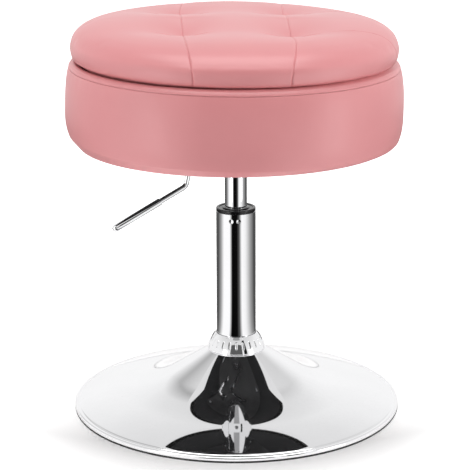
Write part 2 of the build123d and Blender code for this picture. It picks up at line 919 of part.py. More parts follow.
def sew(depth):
    """Cuts the channels and the tufts of the lid's crown into the part being built."""
    for angle in tuft_angles:
        across = Vector(cos(radians(angle)), sin(radians(angle)), 0)
        along = Vector(-across.Y, across.X, 0)
        centre = across * tuft_half + Vector(0, 0, dome_base)
        ring = sqrt(lid_dome**2 - tuft_half**2) - channel_depth + channel_radius
        start = Vector(0, 0, cos(channel_arc)) + along * sin(channel_arc)
        with BuildSketch(Plane(origin=centre, x_dir=start, z_dir=start.cross(across))) as channel:
            with Locations((ring, 0)):
                Circle(channel_radius + depth)
        revolve(
            channel.sketch,
            axis=Axis(centre, across),
            revolution_arc=degrees(2 * channel_arc),
            mode=Mode.SUBTRACT,
        )
    lip = (-tuft_depth * tuft_lip[0], tuft_reach * tuft_lip[1])
    throat = (-tuft_depth * tuft_throat[0], tuft_reach * tuft_throat[1])
    for angle in tuft_angles:
        across = Vector(cos(radians(angle)), sin(radians(angle)), 0)
        along = Vector(-across.Y, across.X, 0)
        spot = across * tuft_half + along * tuft_half
        normal = (spot + Vector(0, 0, sqrt(lid_dome**2 - spot.length**2))).normalized()
        top = Vector(0, 0, dome_base) + normal * (lid_dome - depth)
        with BuildSketch(Plane(origin=top, x_dir=normal, z_dir=normal.cross(along))) as tuft:
            with BuildLine():
                Line((-tuft_depth, 0), (tuft_depth, 0))
                Line((tuft_depth, 0), (tuft_depth, tuft_reach))
                Line((tuft_depth, tuft_reach), (0, tuft_reach))
                ThreePointArc((0, tuft_reach), lip, throat)
                Line(throat, (-tuft_depth, 0))
            make_face()
        revolve(tuft.sketch, axis=Axis(top, normal), mode=Mode.SUBTRACT)


# Lid board with holes for the tufts' stems
tuft_spots = [
    (tuft_half * sqrt(2) * cos(radians(angle + 45)), tuft_half * sqrt(2) * sin(radians(angle + 45)))
    for angle in tuft_angles
]
with BuildPart() as lid_board:
    with BuildSketch(Plane.XY.offset(lid_board_bottom)):
        Circle(lid_board_radius)
        with Locations(*tuft_spots):
            Circle(anchor_stem, mode=Mode.SUBTRACT)
    extrude(amount=lid_board_thickness)
pieces["lid_board"] = lid_board

# Foam on the board, tufted
with BuildPart() as lid_foam:
    with BuildSketch(Plane.XZ):
        with BuildLine():
            Line(
                (lid_board_radius, lid_bottom + leather),
                (lid_flat_radius - leather, lid_bottom + leather),
            )
            lid_curves(leather)
            Polyline(
                (0, dome_base + lid_dome - leather),
                (0, lid_board_top),
                (lid_board_radius, lid_board_top),
                (lid_board_radius, lid_bottom + leather),
            )
        make_face()
    revolve(axis=Axis.Z)
    sew(leather)
pieces["lid_foam"] = lid_foam

# Leatherette cover over the foam, wrapped under the board
with BuildPart() as lid_cover:
    with BuildSketch(Plane.XZ):
        with BuildLine():
            Line((0, lid_board_bottom), (0, lid_top))
            lid_curves(0)
            Polyline(
                (lid_flat_radius, lid_bottom),
                (lid_wrap_inner, lid_bottom),
                (lid_wrap_inner, lid_board_bottom),
                (0, lid_board_bottom),
            )
        make_face()
    revolve(axis=Axis.Z)
    sew(0)
    add(lid_foam.part, mode=Mode.SUBTRACT)
    add(lid_board.part, mode=Mode.SUBTRACT)
    with BuildSketch(Plane.XY.offset(lid_board_bottom)):
        with Locations(*tuft_spots):
            Circle(anchor_stem)
    extrude(amount=lid_board_thickness, mode=Mode.SUBTRACT)
pieces["lid_cover"] = lid_cover

# Washers with stems that hold the tufting cords under the board
with BuildPart() as tuft_anchors:
    with BuildSketch(Plane.XY.offset(lid_bottom)):
        with Locations(*tuft_spots):
            Circle(anchor_radius)
    extrude(amount=lid_wrap)
    with BuildSketch(Plane.XY.offset(lid_board_bottom)):
        with Locations(*tuft_spots):
            Circle(anchor_stem)
    extrude(amount=lid_board_thickness)
pieces["tuft_anchors"] = tuft_anchors

# Ring under the lid that centres it in the box
with BuildPart() as lid_ring:
    with BuildSketch(Plane.XY.offset(lid_bottom - lid_ring_depth)):
        Circle(lid_ring_outer)
        Circle(lid_ring_inner, mode=Mode.SUBTRACT)
    extrude(amount=lid_ring_depth)
pieces["lid_ring"] = lid_ring

# Cloth under the lid, inside the ring
with BuildPart() as lid_lining:
    with BuildSketch(Plane.XY.offset(lid_bottom - lining_thickness)):
        Circle(lid_ring_inner)
    extrude(amount=lining_thickness)
pieces["lid_lining"] = lid_lining

os.makedirs("parts", exist_ok=True)
for label, piece in pieces.items():
    piece.part.label = label
    export_step(piece.part, f"parts/{label}.step")
print("lever tip", [round(value, 1) for value in grip_end], "lid top", round(lid_top, 1))
print("pin travel", round(pin_travel, 3), "rim top", round(rim_top, 1), "box bottom", round(box_bottom, 1))
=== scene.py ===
from math import atan2, cos, exp, hypot, pi, radians, sin, tan

import bpy
from mathutils import Matrix, Vector, noise


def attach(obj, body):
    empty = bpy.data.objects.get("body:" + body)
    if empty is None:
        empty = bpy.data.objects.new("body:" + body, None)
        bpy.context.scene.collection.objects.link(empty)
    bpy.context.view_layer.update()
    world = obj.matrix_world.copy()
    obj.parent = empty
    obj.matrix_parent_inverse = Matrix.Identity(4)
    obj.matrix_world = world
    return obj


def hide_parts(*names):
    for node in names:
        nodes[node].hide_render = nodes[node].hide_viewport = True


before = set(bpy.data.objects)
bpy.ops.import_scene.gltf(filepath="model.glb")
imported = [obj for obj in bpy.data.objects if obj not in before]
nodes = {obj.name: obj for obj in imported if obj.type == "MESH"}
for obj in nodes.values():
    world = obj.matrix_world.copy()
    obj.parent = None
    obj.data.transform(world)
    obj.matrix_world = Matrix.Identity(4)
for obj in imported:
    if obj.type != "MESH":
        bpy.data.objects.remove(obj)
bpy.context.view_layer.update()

# Swivel stool: a tufted storage seat on a gas-lift column and a trumpet floor plate.
# Outlines are in millimetres, as (radius, height) from the column's axis and the floor.
# FACE_SLACK is how far inside an outer face a point may lie and still be pressed in with it.
MM = 0.001
FACE_SLACK = 0.2
scene = bpy.context.scene

# Floor plate, with the bead inside its rim as steps out from the dome's edge and up from the rim
PLATE_RADIUS = 209.0
PLATE_SHEET = 2.0
PLATE_LOW = 2.5
RIM_HEIGHT = 7.2
RIM_ROUND = 3.0
RIM_LIP = 3.0
RIM_STEP = 0.8
RIM_BEAD = [(0.7, 0.25), (1.5, -0.1), (2.3, 0.0)]
EDGE_SLOPE = 16.5
WAIST_SLOPE = 10.4
FLANK_SLOPE = 31.4
DOME_RADIUS = 551.0
BLEND_RADIUS = 176.2
NECK_RADIUS = 28.0

# Column. The bush's groove is given as depths and heights above the tube, and its steps as radii and
# depths below its top.
TUBE_RADIUS = 25.0
TUBE_INSIDE = 23.5
TUBE_LOW = 16.0
TUBE_TOP = 257.0
TUBE_EDGE = 0.5
TUBE_ROW = 16
DIMPLE_HEIGHT = 248.0
DIMPLE_BAND = 5.0
DIMPLE_ROW = 0.4
DIMPLE_ROWS = 26
DIMPLE_REACH = 2.6
DIMPLE_DEPTH = 0.8
DIMPLE_FRONT = -93.2
DIMPLE_APART = 10.8
DIMPLE_TURNS = [
    DIMPLE_FRONT + side * DIMPLE_APART + 120.0 * third for third in range(3) for side in (-1, 1)
]
BUSH_LOW = 181.0
BUSH_TOP = 261.3
BUSH_BORE = 14.05
BUSH_EDGE = 0.9
BUSH_GROOVE = [(0.0, 1.7), (0.35, 1.9), (0.35, 2.3), (0.0, 2.5)]
BUSH_STEPS = [(21.9, 0.0), (21.5, 0.9), (17.6, 1.0), (17.2, 0.3), (16.6, 0.0), (14.6, 0.0)]
BORE_EDGE = 0.5
CYLINDER_RADIUS = 14.0
CYLINDER_LOW = 94.8
CYLINDER_TOP = 325.8
CYLINDER_BORE = 9.0
CYLINDER_EDGE = 0.6
CYLINDER_LIP = 2.0
CONE_LOW = 297.8
CONE_TOP_RADIUS = 13.3
COLLAR_BORE = 25.7
COLLAR_CROWN = 27.3
COLLAR_FOOT = 38.0
COLLAR_WALL = 2.0
COLLAR_HEIGHT = 20.5
COLLAR_EDGE = 1.2
COLLAR_BULGE = 0.9
COLLAR_LIP = 0.6
COLLAR_CHAMFER = 0.5
COLLAR_ROWS = 44
FLUTES = 24
FLUTE_LENGTH = 9.5
FLUTE_WIDTH = 2.6
FLUTE_DEPTH = 0.7
FLUTE_STEPS = 16
FLUTE_WALL = 0.4

# Lever, with places along it as (out from the axis, height)
LEVER_TURN = 210.0
LEVER_RADIUS = 3.4
LEVER_BEND = 9.0
ROD_SIDES = 48
LEVER_START = (-4.0, 334.9)
LEVER_ELBOW = (62.5, 334.9)
LEVER_KNEE = (71.8, 296.9)
LEVER_TIP = (169.0, 257.03)
LEVER_PIVOT = 34.0
BOSS_RADIUS = 6.0
BOSS_HALF = 7.0
BOSS_BORE = 2.55
BOSS_EDGE = 0.5
GRIP_RADIUS = 4.5
GRIP_LENGTH = 66.0
GRIP_EDGE = 0.35
GRIP_LIP = 2.0

# Seat box
BOX_LOW = 347.0
COVER = 1.3
WALL_OUTSIDE = 197.0
WALL_INSIDE = 193.0
WRAP_INNER = 184.0
FOOT_RADIUS = 205.3
FOOT_ROUND = 9.0
BELLY_RADIUS = 210.1
SEAM_HEIGHT = 442.3
RIM_TOP = 449.5
WALL_TOP = 446.8
LINING_TOP = 436.8

# Radii over which the box's cover and the band come loose from the wall and follow the seat's lean
BOX_LOOSE = (WALL_OUTSIDE + 2, FOOT_RADIUS)
BOX_FREE = (WALL_OUTSIDE - 2, WALL_OUTSIDE + 6)
RIM_LOOSE = (WALL_OUTSIDE + 2, WALL_OUTSIDE + 5)
RIM_FREE = (WALL_OUTSIDE - 4, WALL_OUTSIDE + 2)

# Unevenness of the box: swells, puckers below the seam and along the band, and the join at the back
BOX_SWELL = 0.9
SWELL_WAVES = 2.2
SWELL_RISE = 0.008
BOX_PUCKER = 0.35
PUCKER_WAVES = 24
PUCKER_RISE = 0.03
PUCKER_BAND = (SEAM_HEIGHT - 26, SEAM_HEIGHT - 3)
RIM_PUCKER = 0.25
RIM_WAVES = 16
RIM_SEED = 3.7
JOIN_DEPTH = 1.1
JOIN_WIDTH = 1.6
WELT_HEIGHT = 0.35
WELT_AWAY = 4.5
WELT_WIDTH = 2.5

# Lid
LID_LOW = 449.8
LID_TOP = 502.8
LID_RADIUS = 202.3
TUFT_HALF = 67.0
TUFT_TURN = 2.0
TUFT_DEPTH = 12.5
TUFT_SPREAD = 32.0
SEAM_PULL = 0.5
SEAM_GROOVE = 1.2
SEAM_HALF = 1.4
LID_SWELL = 2.5
LID_UNDER = (0.0, 60.0, 120.0, 170.0)
LID_VOXEL = 0.005
HEM_TOP = LID_LOW + 4

# Dips of the cushion: their fall by the tufts, along the seams and towards the front
TUFT_POWER = 1.15
TUFT_NEAR = 1.7
TUFT_FAR = 0.85
TUFT_ACROSS = 0.85
SEAM_SOFT = 9.0
FRONT_DROP = 5.0
DROP_REACH = 130.0
DROP_BAND = (LID_LOW + 9, LID_LOW + 36)

# How firmly the cover is held while it is stuffed: at the hem, by the tufts and along the seams
HEM_HOLD = (LID_LOW + 4, LID_LOW + 26)
CROWN_LOW = LID_LOW + 30
TUFT_HOLD = (7, 22)
SEAM_HOLD = (2, 6)
LONG_HOLD = 0.5
CROSS_HOLD = 0.06
STUFFING_FRAMES = 20

# Hem's line, seen from a centre inside the cushion
HEM_CENTRE = (176.0, LID_LOW + 18.0)
HEM_END = radians(40)
HEM_FREE = (radians(-8), radians(20))
HEM_FLAT = LID_LOW + 6

# Seams' grooves. The cross seams show by the tufts and at the right alone. CUT_REACH is in metres.
CUT_LOW = LID_LOW + 1.5
CUT_REACH = 0.006
GROOVE_LOW = LID_LOW + 0.8
GROOVE_HALF = SEAM_HALF + 0.05
CROSS_BY_TUFT = 1.5
CROSS_SPAN = (10, 46)
CROSS_AT_RIGHT = 0.6
RIGHT_SPAN = (TUFT_HALF + 30, TUFT_HALF + 70)

# Seams' way to the hem, on the left and the right: where they turn in, and by how many degrees
# over the crown and down the side
LEFT_SEAM = (85.0, 3.0, 1.1)
RIGHT_SEAM = (150.0, 1.2, 1.5)
SEAM_END = 4
BEND_OUT = (150, 190)
BEND_UP = (LID_LOW + 4, LID_LOW + 38)

# How far each tuft was sewn forward of its square, rear and front, left and right, and how far
# the left front tuft and the right ones were drawn towards the middle
REAR_TUFTS = (5.0, 6.0)
FRONT_TUFTS = (6.0, 14.0)
LEFT_SQUEEZE = 3.0
RIGHT_SQUEEZE = 2.2
SIDE_SPAN = (-60.0, 60.0)
PULL_SPAN = (105.0, 185.0)
PULL_LOW = LID_LOW + 20

# Waves of the hem, with one place where it lifts at the front left
HEM_WAVE = 0.7
HEM_WAVES = 7
HEM_SEED = 1.3
HEM_LIFT = 1.4
LIFT_TURN = -135
LIFT_SPREAD = 30
WAVE_OUT = (190.0, 199.0)
WAVE_UP = (LID_LOW + 3, LID_LOW + 14)

# The upholstery sits a touch askew on its frame, and the box's foot more so than its top
LEAN = 0.0105
LEAN_SHIFT = -1.0
LEAN_OUT = (186, 196)
LEAN_UP = (LID_LOW + 2, LID_LOW + 8)
FOOT_LEAN = 0.9
FOOT_BAND = (BOX_LOW + 20, SEAM_HEIGHT - 20)


# Modelling helpers
def clear_selection():
    bpy.ops.object.select_all(action="DESELECT")


def set_mode(mode):
    bpy.ops.object.mode_set(mode=mode)


def pick(piece):
    """Makes a piece the only selected and the active one."""
    clear_selection()
    piece.select_set(True)
    bpy.context.view_layer.objects.active = piece


def finish_with(piece, kind, **settings):
    """Adds a modifier with its settings and applies it."""
    pick(piece)
    modifier = piece.modifiers.new(kind.title(), kind)
    for name, value in settings.items():
        setattr(modifier, name, value)
    bpy.ops.object.modifier_apply(modifier=modifier.name)


def smooth(piece, angle):
    """Shades a piece smooth, apart from edges sharper than an angle in degrees."""
    pick(piece)
    bpy.ops.object.shade_smooth_by_angle(angle=radians(angle))


def turned(name, outline, steps):
    """Turns an outline of (radius, height) points round the column's axis."""
    clear_selection()
    bpy.ops.mesh.primitive_plane_add(size=MM)
    piece = bpy.context.object
    piece.name = name
    piece.data.name = name
    set_mode("EDIT")
    bpy.ops.mesh.select_mode(type="VERT")
    bpy.ops.mesh.select_all(action="SELECT")
    bpy.ops.mesh.merge(type="CENTER")
    bpy.ops.transform.translate(value=(outline[0][0] * MM, 0, outline[0][1] * MM))
    for (r0, z0), (r1, z1) in zip(outline, outline[1:]):
        step = ((r1 - r0) * MM, 0, (z1 - z0) * MM)
        bpy.ops.mesh.extrude_vertices_move(TRANSFORM_OT_translate={"value": step})
    bpy.ops.mesh.select_all(action="SELECT")
    bpy.ops.mesh.spin(steps=steps, angle=2 * pi, center=(0, 0, 0), axis=(0, 0, 1))
    bpy.ops.mesh.select_all(action="SELECT")
    bpy.ops.mesh.remove_doubles(threshold=0.00001)
    bpy.ops.mesh.normals_make_consistent(inside=False)
    set_mode("OBJECT")
    return piece


def arc(centre, radius, start, end, count):
    """Points of an arc in an outline, with angles in degrees from the outward direction."""
    spots = []
    for k in range(count + 1):
        angle = radians(start + (end - start) * k / count)
        spots.append((centre[0] + radius * cos(angle), centre[1] + radius * sin(angle)))
    return spots


def through(points, count):
    """A smooth outline through the given points."""
    spots = []
    padded = [points[0]] + list(points) + [points[-1]]
    for a, b, c, d in zip(padded, padded[1:], padded[2:], padded[3:]):
        for k in range(count):
            t = k / count
            spot = []
            for p0, p1, p2, p3 in zip(a, b, c, d):
                line = (2 * p1) + (p2 - p0) * t
                line += (2 * p0 - 5 * p1 + 4 * p2 - p3) * t * t
                line += (3 * p1 - p0 - 3 * p2 + p3) * t**3
                spot.append(line / 2)
            spots.append(tuple(spot))
    spots.append(tuple(points[-1]))
    return spots


def straight(start, end, count):
    """Evenly spaced points from start up to, but without, end."""
    return [
        (start[0] + (end[0] - start[0]) * k / count, start[1] + (end[1] - start[1]) * k / count)
        for k in range(count)
    ]


def ease(value, low, high):
    """Rises smoothly from 0 at low to 1 at high."""
    t = min(max((value - low) / (high - low), 0.0), 1.0)
    return t * t * (3 - 2 * t)


def ripple(turn, waves, height):
    """Smooth noise round the column, with more waves to the turn for a larger number."""
    return noise.noise(Vector((cos(turn) * waves, sin(turn) * waves, height)))


def widen(point, share):
    """Moves a point of a mesh out from the column by a share of its radius."""
    point.co.x *= share
    point.co.y *= share


def lean(place, share):
    """Sets a place of the upholstery askew by a share."""
    return Vector((place.x + LEAN_SHIFT * share, place.y, place.z - LEAN * place.x * share))


def dress(piece, material):
    piece.data.materials.clear()
    piece.data.materials.append(material)


def complete(piece, material, body, slot, *stands_for, angle=35.0):
    """Shades and dresses a piece, and lets it move with its body and stand for its solids."""
    smooth(piece, angle)
    dress(piece, material)
    if stands_for:
        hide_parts(*stands_for)
    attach(piece, body)


# Shader groups that several finishes share
def add(tree, kind):
    return tree.nodes.new("ShaderNode" + kind)


def new_group(name, inputs, outputs):
    """An empty group, its input and output nodes, and the place on the piece."""
    group = bpy.data.node_groups.new(name, "ShaderNodeTree")
    for way, labels in (("INPUT", inputs), ("OUTPUT", outputs)):
        for label in labels:
            group.interface.new_socket(label, in_out=way, socket_type="NodeSocketFloat")
    place = add(group, "TexCoord").outputs["Object"]
    return group, group.nodes.new("NodeGroupInput"), group.nodes.new("NodeGroupOutput"), place


def preset(node, values):
    """Sets the plain values of a node's inputs."""
    for label, value in values.items():
        node.inputs[label].default_value = value


def feed(tree, value, socket):
    """Gives an input a number or a link."""
    if isinstance(value, (int, float)):
        socket.default_value = value
    else:
        tree.links.new(value, socket)


def compute(tree, operation, first, second=0.0):
    """Result of an operation on two numbers or sockets."""
    node = add(tree, "Math")
    node.operation = operation
    for socket, value in zip(node.inputs, (first, second)):
        feed(tree, value, socket)
    return node.outputs[0]


def spread(tree, value, low, high):
    """Maps a value between 0 and 1 to the range from low to high."""
    node = add(tree, "MapRange")
    tree.links.new(value, node.inputs["Value"])
    feed(tree, low, node.inputs["To Min"])
    feed(tree, high, node.inputs["To Max"])
    return node.outputs["Result"]


def speckle(tree, place, scale, detail, rough=0.5):
    """Cloudy noise between 0 and 1."""
    node = add(tree, "TexNoise")
    tree.links.new(place, node.inputs["Vector"])
    feed(tree, scale, node.inputs["Scale"])
    preset(node, {"Detail": detail, "Roughness": rough})
    return node.outputs["Fac"]


def give(group, out, **results):
    """Links results to a group's output node."""
    for label, value in results.items():
        group.links.new(value, out.inputs[label])


def hide_grain():
    """Pebbled grain of leatherette: a height, and a mask of worn and tinted places."""
    inputs = ("Pebbles", "Patches")
    group, given, out, place = new_group("hide_grain", inputs, ("Height", "Mottle"))
    cells = add(group, "TexVoronoi")
    cells.feature = "SMOOTH_F1"
    group.links.new(place, cells.inputs["Vector"])
    group.links.new(given.outputs["Pebbles"], cells.inputs["Scale"])
    fine = speckle(group, place, compute(group, "MULTIPLY", given.outputs["Pebbles"], 0.4), 4.0)
    height = compute(group, "ADD", compute(group, "MULTIPLY", cells.outputs["Distance"], -0.7), fine)
    give(group, out, Height=height, Mottle=speckle(group, place, given.outputs["Patches"], 5.0, 0.6))
    return group


def handling():
    """Faint smears and hairlines that break up a polished or painted face."""
    inputs = ("Smears", "Hairlines", "Low", "High")
    group, given, out, place = new_group("handling", inputs, ("Roughness", "Height", "Mask"))
    cloud = speckle(group, place, given.outputs["Smears"], 4.0, 0.6)
    fine = speckle(group, place, given.outputs["Hairlines"], 2.0, 0.7)
    mask = compute(group, "MULTIPLY", cloud, compute(group, "ADD", fine, 0.5))
    rough = spread(group, mask, given.outputs["Low"], given.outputs["High"])
    give(group, out, Roughness=rough, Height=fine, Mask=mask)
    return group


def cloth_weave():
    """Plain weave of lining cloth."""
    inputs = ("Threads", "Slubs")
    group, given, out, place = new_group("cloth_weave", inputs, ("Height", "Tone"))
    split = add(group, "SeparateXYZ")
    group.links.new(place, split.inputs[0])
    waves = []
    for axis in ("X", "Y"):
        turn = compute(group, "MULTIPLY", split.outputs[axis], given.outputs["Threads"])
        waves.append(compute(group, "SINE", compute(group, "MULTIPLY", turn, 2 * pi)))
    cross = compute(group, "MULTIPLY", waves[0], waves[1])
    upright = compute(group, "MULTIPLY", split.outputs["Z"], given.outputs["Threads"])
    rows = compute(group, "SINE", compute(group, "MULTIPLY", upright, 2 * pi))
    height = compute(group, "ADD", cross, compute(group, "MULTIPLY", rows, 0.5))
    give(group, out, Height=height, Tone=speckle(group, place, given.outputs["Slubs"], 4.0, 0.7))
    return group


def board_fibres():
    """Pressed fibres and long streaks of the boards."""
    inputs = ("Flakes", "Streaks")
    group, given, out, place = new_group("board_fibres", inputs, ("Height", "Tone"))
    stretch = add(group, "Mapping")
    preset(stretch, {"Scale": (1.0, 0.15, 1.0)})
    group.links.new(place, stretch.inputs["Vector"])
    flakes = speckle(group, stretch.outputs[0], given.outputs["Flakes"], 5.0, 0.7)
    streaks = speckle(group, stretch.outputs[0], given.outputs["Streaks"], 3.0, 0.5)
    fine = compute(group, "MULTIPLY", flakes, 0.6)
    tone = compute(group, "ADD", fine, compute(group, "MULTIPLY", streaks, 0.4))
    give(group, out, Height=flakes, Tone=tone)
    return group


HIDE = hide_grain()
HANDLING = handling()
WEAVE = cloth_weave()
FIBRES = board_fibres()


# Finishes
ROUGH_SPREAD = 0.05


def new_material(name):
    material = bpy.data.materials.new(name)
    material.use_nodes = True
    return material, material.node_tree, material.node_tree.nodes["Principled BSDF"]


def new_finish(name, group, values, tone, dark, light):
    """A material that shows a group, with its colour from one of the group's results."""
    material, tree, shader = new_material(name)
    effect = add(tree, "Group")
    effect.node_tree = group
    preset(effect, values)
    tint(tree, shader, effect.outputs[tone], dark, light)
    return material, tree, shader, effect


def tint(tree, shader, value, dark, light):
    """Base colour that runs from dark to light with a value."""
    mix = add(tree, "Mix")
    mix.data_type = "RGBA"
    tree.links.new(value, mix.inputs["Factor"])
    preset(mix, {"A": (*dark, 1.0), "B": (*light, 1.0)})
    tree.links.new(mix.outputs["Result"], shader.inputs["Base Color"])


def relief(tree, shader, height, depth, strength):
    bump = add(tree, "Bump")
    preset(bump, {"Distance": depth, "Strength": strength})
    tree.links.new(height, bump.inputs["Height"])
    tree.links.new(bump.outputs["Normal"], shader.inputs["Normal"])


def leatherette(name, dark, light, rough):
    values = {"Pebbles": 850.0, "Patches": 7.0}
    material, tree, shader, effect = new_finish(name, HIDE, values, "Mottle", dark, light)
    worn = spread(tree, effect.outputs["Mottle"], rough - ROUGH_SPREAD, rough + ROUGH_SPREAD)
    tree.links.new(worn, shader.inputs["Roughness"])
    preset(shader, {"Specular IOR Level": 0.6, "Sheen Weight": 0.08, "Sheen Roughness": 0.4})
    relief(tree, shader, effect.outputs["Height"], depth=0.00012, strength=0.5)
    return material


def handled(name, dark, light, values, metallic, depth, strength):
    material, tree, shader, effect = new_finish(name, HANDLING, values, "Mask", dark, light)
    tree.links.new(effect.outputs["Roughness"], shader.inputs["Roughness"])
    preset(shader, {"Metallic": metallic})
    if depth:
        relief(tree, shader, effect.outputs["Height"], depth, strength)
    return material


def metal(name, dark, light, low, high, smears=14.0, depth=0.0):
    values = {"Smears": smears, "Hairlines": 260.0, "Low": low, "High": high}
    return handled(name, dark, light, values, 1.0, depth, strength=0.4)


def moulded(name, dark, light, low, high, depth=0.00004):
    values = {"Smears": 30.0, "Hairlines": 900.0, "Low": low, "High": high}
    return handled(name, dark, light, values, 0.0, depth, strength=0.5)


def woven(name, dark, light, threads):
    values = {"Threads": threads, "Slubs": 70.0}
    material, tree, shader, effect = new_finish(name, WEAVE, values, "Tone", dark, light)
    tree.links.new(spread(tree, effect.outputs["Tone"], 0.8, 0.95), shader.inputs["Roughness"])
    preset(shader, {"Sheen Weight": 0.2, "Specular IOR Level": 0.2})
    relief(tree, shader, effect.outputs["Height"], depth=0.00008, strength=0.6)
    return material


def pressed_board(name, dark, light):
    values = {"Flakes": 160.0, "Streaks": 20.0}
    material, tree, shader, effect = new_finish(name, FIBRES, values, "Tone", dark, light)
    tree.links.new(spread(tree, effect.outputs["Height"], 0.65, 0.85), shader.inputs["Roughness"])
    relief(tree, shader, effect.outputs["Height"], depth=0.00015, strength=0.5)
    return material


PINK = leatherette("pink_leatherette", (0.68, 0.25, 0.26), (0.74, 0.29, 0.3), rough=0.34)
CHROME = metal("chrome", (0.86, 0.86, 0.87), (0.92, 0.92, 0.93), 0.02, 0.05)
STEEL = metal("zinc_steel", (0.42, 0.43, 0.45), (0.6, 0.61, 0.63), 0.25, 0.45, smears=30.0, depth=0.00003)
PLATED = metal("plated_plastic", (0.84, 0.84, 0.85), (0.9, 0.9, 0.91), 0.04, 0.09)
BLACK_PAINT = moulded("black_paint", (0.012, 0.012, 0.013), (0.03, 0.03, 0.031), 0.3, 0.5)
BLACK_PLASTIC = moulded("black_plastic", (0.004, 0.004, 0.0045), (0.012, 0.012, 0.0125), 0.08, 0.18)
RUBBER = moulded("rubber", (0.01, 0.01, 0.01), (0.025, 0.025, 0.025), 0.6, 0.8, depth=0.0001)
LINING = woven("lining_cloth", (0.012, 0.012, 0.014), (0.03, 0.03, 0.033), threads=700.0)
DUST_CLOTH = woven("dust_cloth", (0.006, 0.006, 0.007), (0.014, 0.014, 0.015), threads=500.0)
BOARD = pressed_board("pressed_board", (0.3, 0.19, 0.1), (0.52, 0.36, 0.2))


# Floor plate: straight flank, hollow blend, low dome and a rolled rim
def square_to(start, slope, length):
    """The point at a length above a start, square to a slope in degrees."""
    return (start[0] + length * sin(radians(slope)), start[1] + length * cos(radians(slope)))


dome_edge = (PLATE_RADIUS - RIM_ROUND - RIM_LIP, RIM_HEIGHT + RIM_STEP)
dome_centre = square_to(dome_edge, EDGE_SLOPE, -DOME_RADIUS)
waist = square_to(dome_centre, WAIST_SLOPE, DOME_RADIUS)
blend_centre = square_to(waist, WAIST_SLOPE, BLEND_RADIUS)


def flank_height(radius, depth=0.0):
    """Height of the straight flank at a radius, at a depth in the sheet."""
    start_radius, start_height = square_to(blend_centre, FLANK_SLOPE, -(BLEND_RADIUS + depth))
    return start_height + (start_radius - radius) * tan(radians(FLANK_SLOPE))


def plate_outline(depth):
    """The plate's outline from the neck to the rim, at a depth in the sheet."""
    blend = arc(blend_centre, BLEND_RADIUS + depth, 270 - FLANK_SLOPE, 270 - WAIST_SLOPE, count=28)
    dome = arc(dome_centre, DOME_RADIUS - depth, 90 - WAIST_SLOPE, 90 - EDGE_SLOPE, count=16)
    neck = (NECK_RADIUS, flank_height(NECK_RADIUS, depth))
    return straight(neck, blend[0], count=12) + blend + dome[1:]


def floor_plate():
    bead = [(dome_edge[0] + out, RIM_HEIGHT + up) for out, up in RIM_BEAD]
    rim = through([dome_edge] + bead, count=4)[1:]
    round_centre = (PLATE_RADIUS - RIM_ROUND, RIM_HEIGHT - RIM_ROUND)
    roll = arc(round_centre, RIM_ROUND, 90, 0, count=10)
    hem = [(PLATE_RADIUS, PLATE_LOW), (PLATE_RADIUS - PLATE_SHEET, PLATE_LOW)]
    inner_roll = arc(round_centre, RIM_ROUND - PLATE_SHEET, 0, 90, count=4)
    under = list(reversed(plate_outline(PLATE_SHEET)))
    outline = plate_outline(0.0) + rim + roll + hem + inner_roll + under
    outline.append(outline[0])
    plate = turned("floor_plate", outline, steps=256)
    complete(plate, CHROME, "base", "chrome", "base_shell")


# Column tube with its staking dimples
def column_tube():
    band_low = DIMPLE_HEIGHT - DIMPLE_BAND
    outline = [(TUBE_RADIUS, z) for z in range(int(TUBE_LOW), int(band_low) - 1, TUBE_ROW)]
    outline += [(TUBE_RADIUS, band_low + DIMPLE_ROW * k) for k in range(DIMPLE_ROWS)]
    outline += [(TUBE_RADIUS, TUBE_TOP - TUBE_EDGE), (TUBE_RADIUS - TUBE_EDGE, TUBE_TOP)]
    outline += [(TUBE_INSIDE, TUBE_TOP), (TUBE_INSIDE, TUBE_LOW), outline[0]]
    tube = turned("chrome_tube", outline, steps=288)
    for point in tube.data.vertices:
        place = point.co / MM
        out = hypot(place.x, place.y)
        if out < TUBE_RADIUS - FACE_SLACK:
            continue
        turn = atan2(place.y, place.x)
        for dimple in DIMPLE_TURNS:
            across = (turn - radians(dimple) + pi) % (2 * pi) - pi
            away = hypot(across * TUBE_RADIUS, place.z - DIMPLE_HEIGHT) / DIMPLE_REACH
            if away < 1:
                sink = DIMPLE_DEPTH * (1 - away * away)
                widen(point, (out - sink) / out)
    complete(tube, CHROME, "base", "chrome", "column_tube")


# Guide bush: flange with a rolled edge, a step and a wiper ring round the cylinder
def guide_bush():
    outline = [(TUBE_INSIDE, BUSH_LOW), (TUBE_INSIDE, TUBE_TOP), (TUBE_RADIUS, TUBE_TOP)]
    outline += [(TUBE_RADIUS - depth, TUBE_TOP + up) for depth, up in BUSH_GROOVE]
    outline += arc((TUBE_RADIUS - BUSH_EDGE, BUSH_TOP - BUSH_EDGE), BUSH_EDGE, 0, 90, count=6)
    outline += [(out, BUSH_TOP - depth) for out, depth in BUSH_STEPS]
    outline += [(BUSH_BORE, BUSH_TOP - BORE_EDGE), (BUSH_BORE, BUSH_LOW), (TUBE_INSIDE, BUSH_LOW)]
    bush = turned("guide_bush_top", outline, steps=160)
    complete(bush, BLACK_PLASTIC, "base", "black_plastic", "guide_bush")


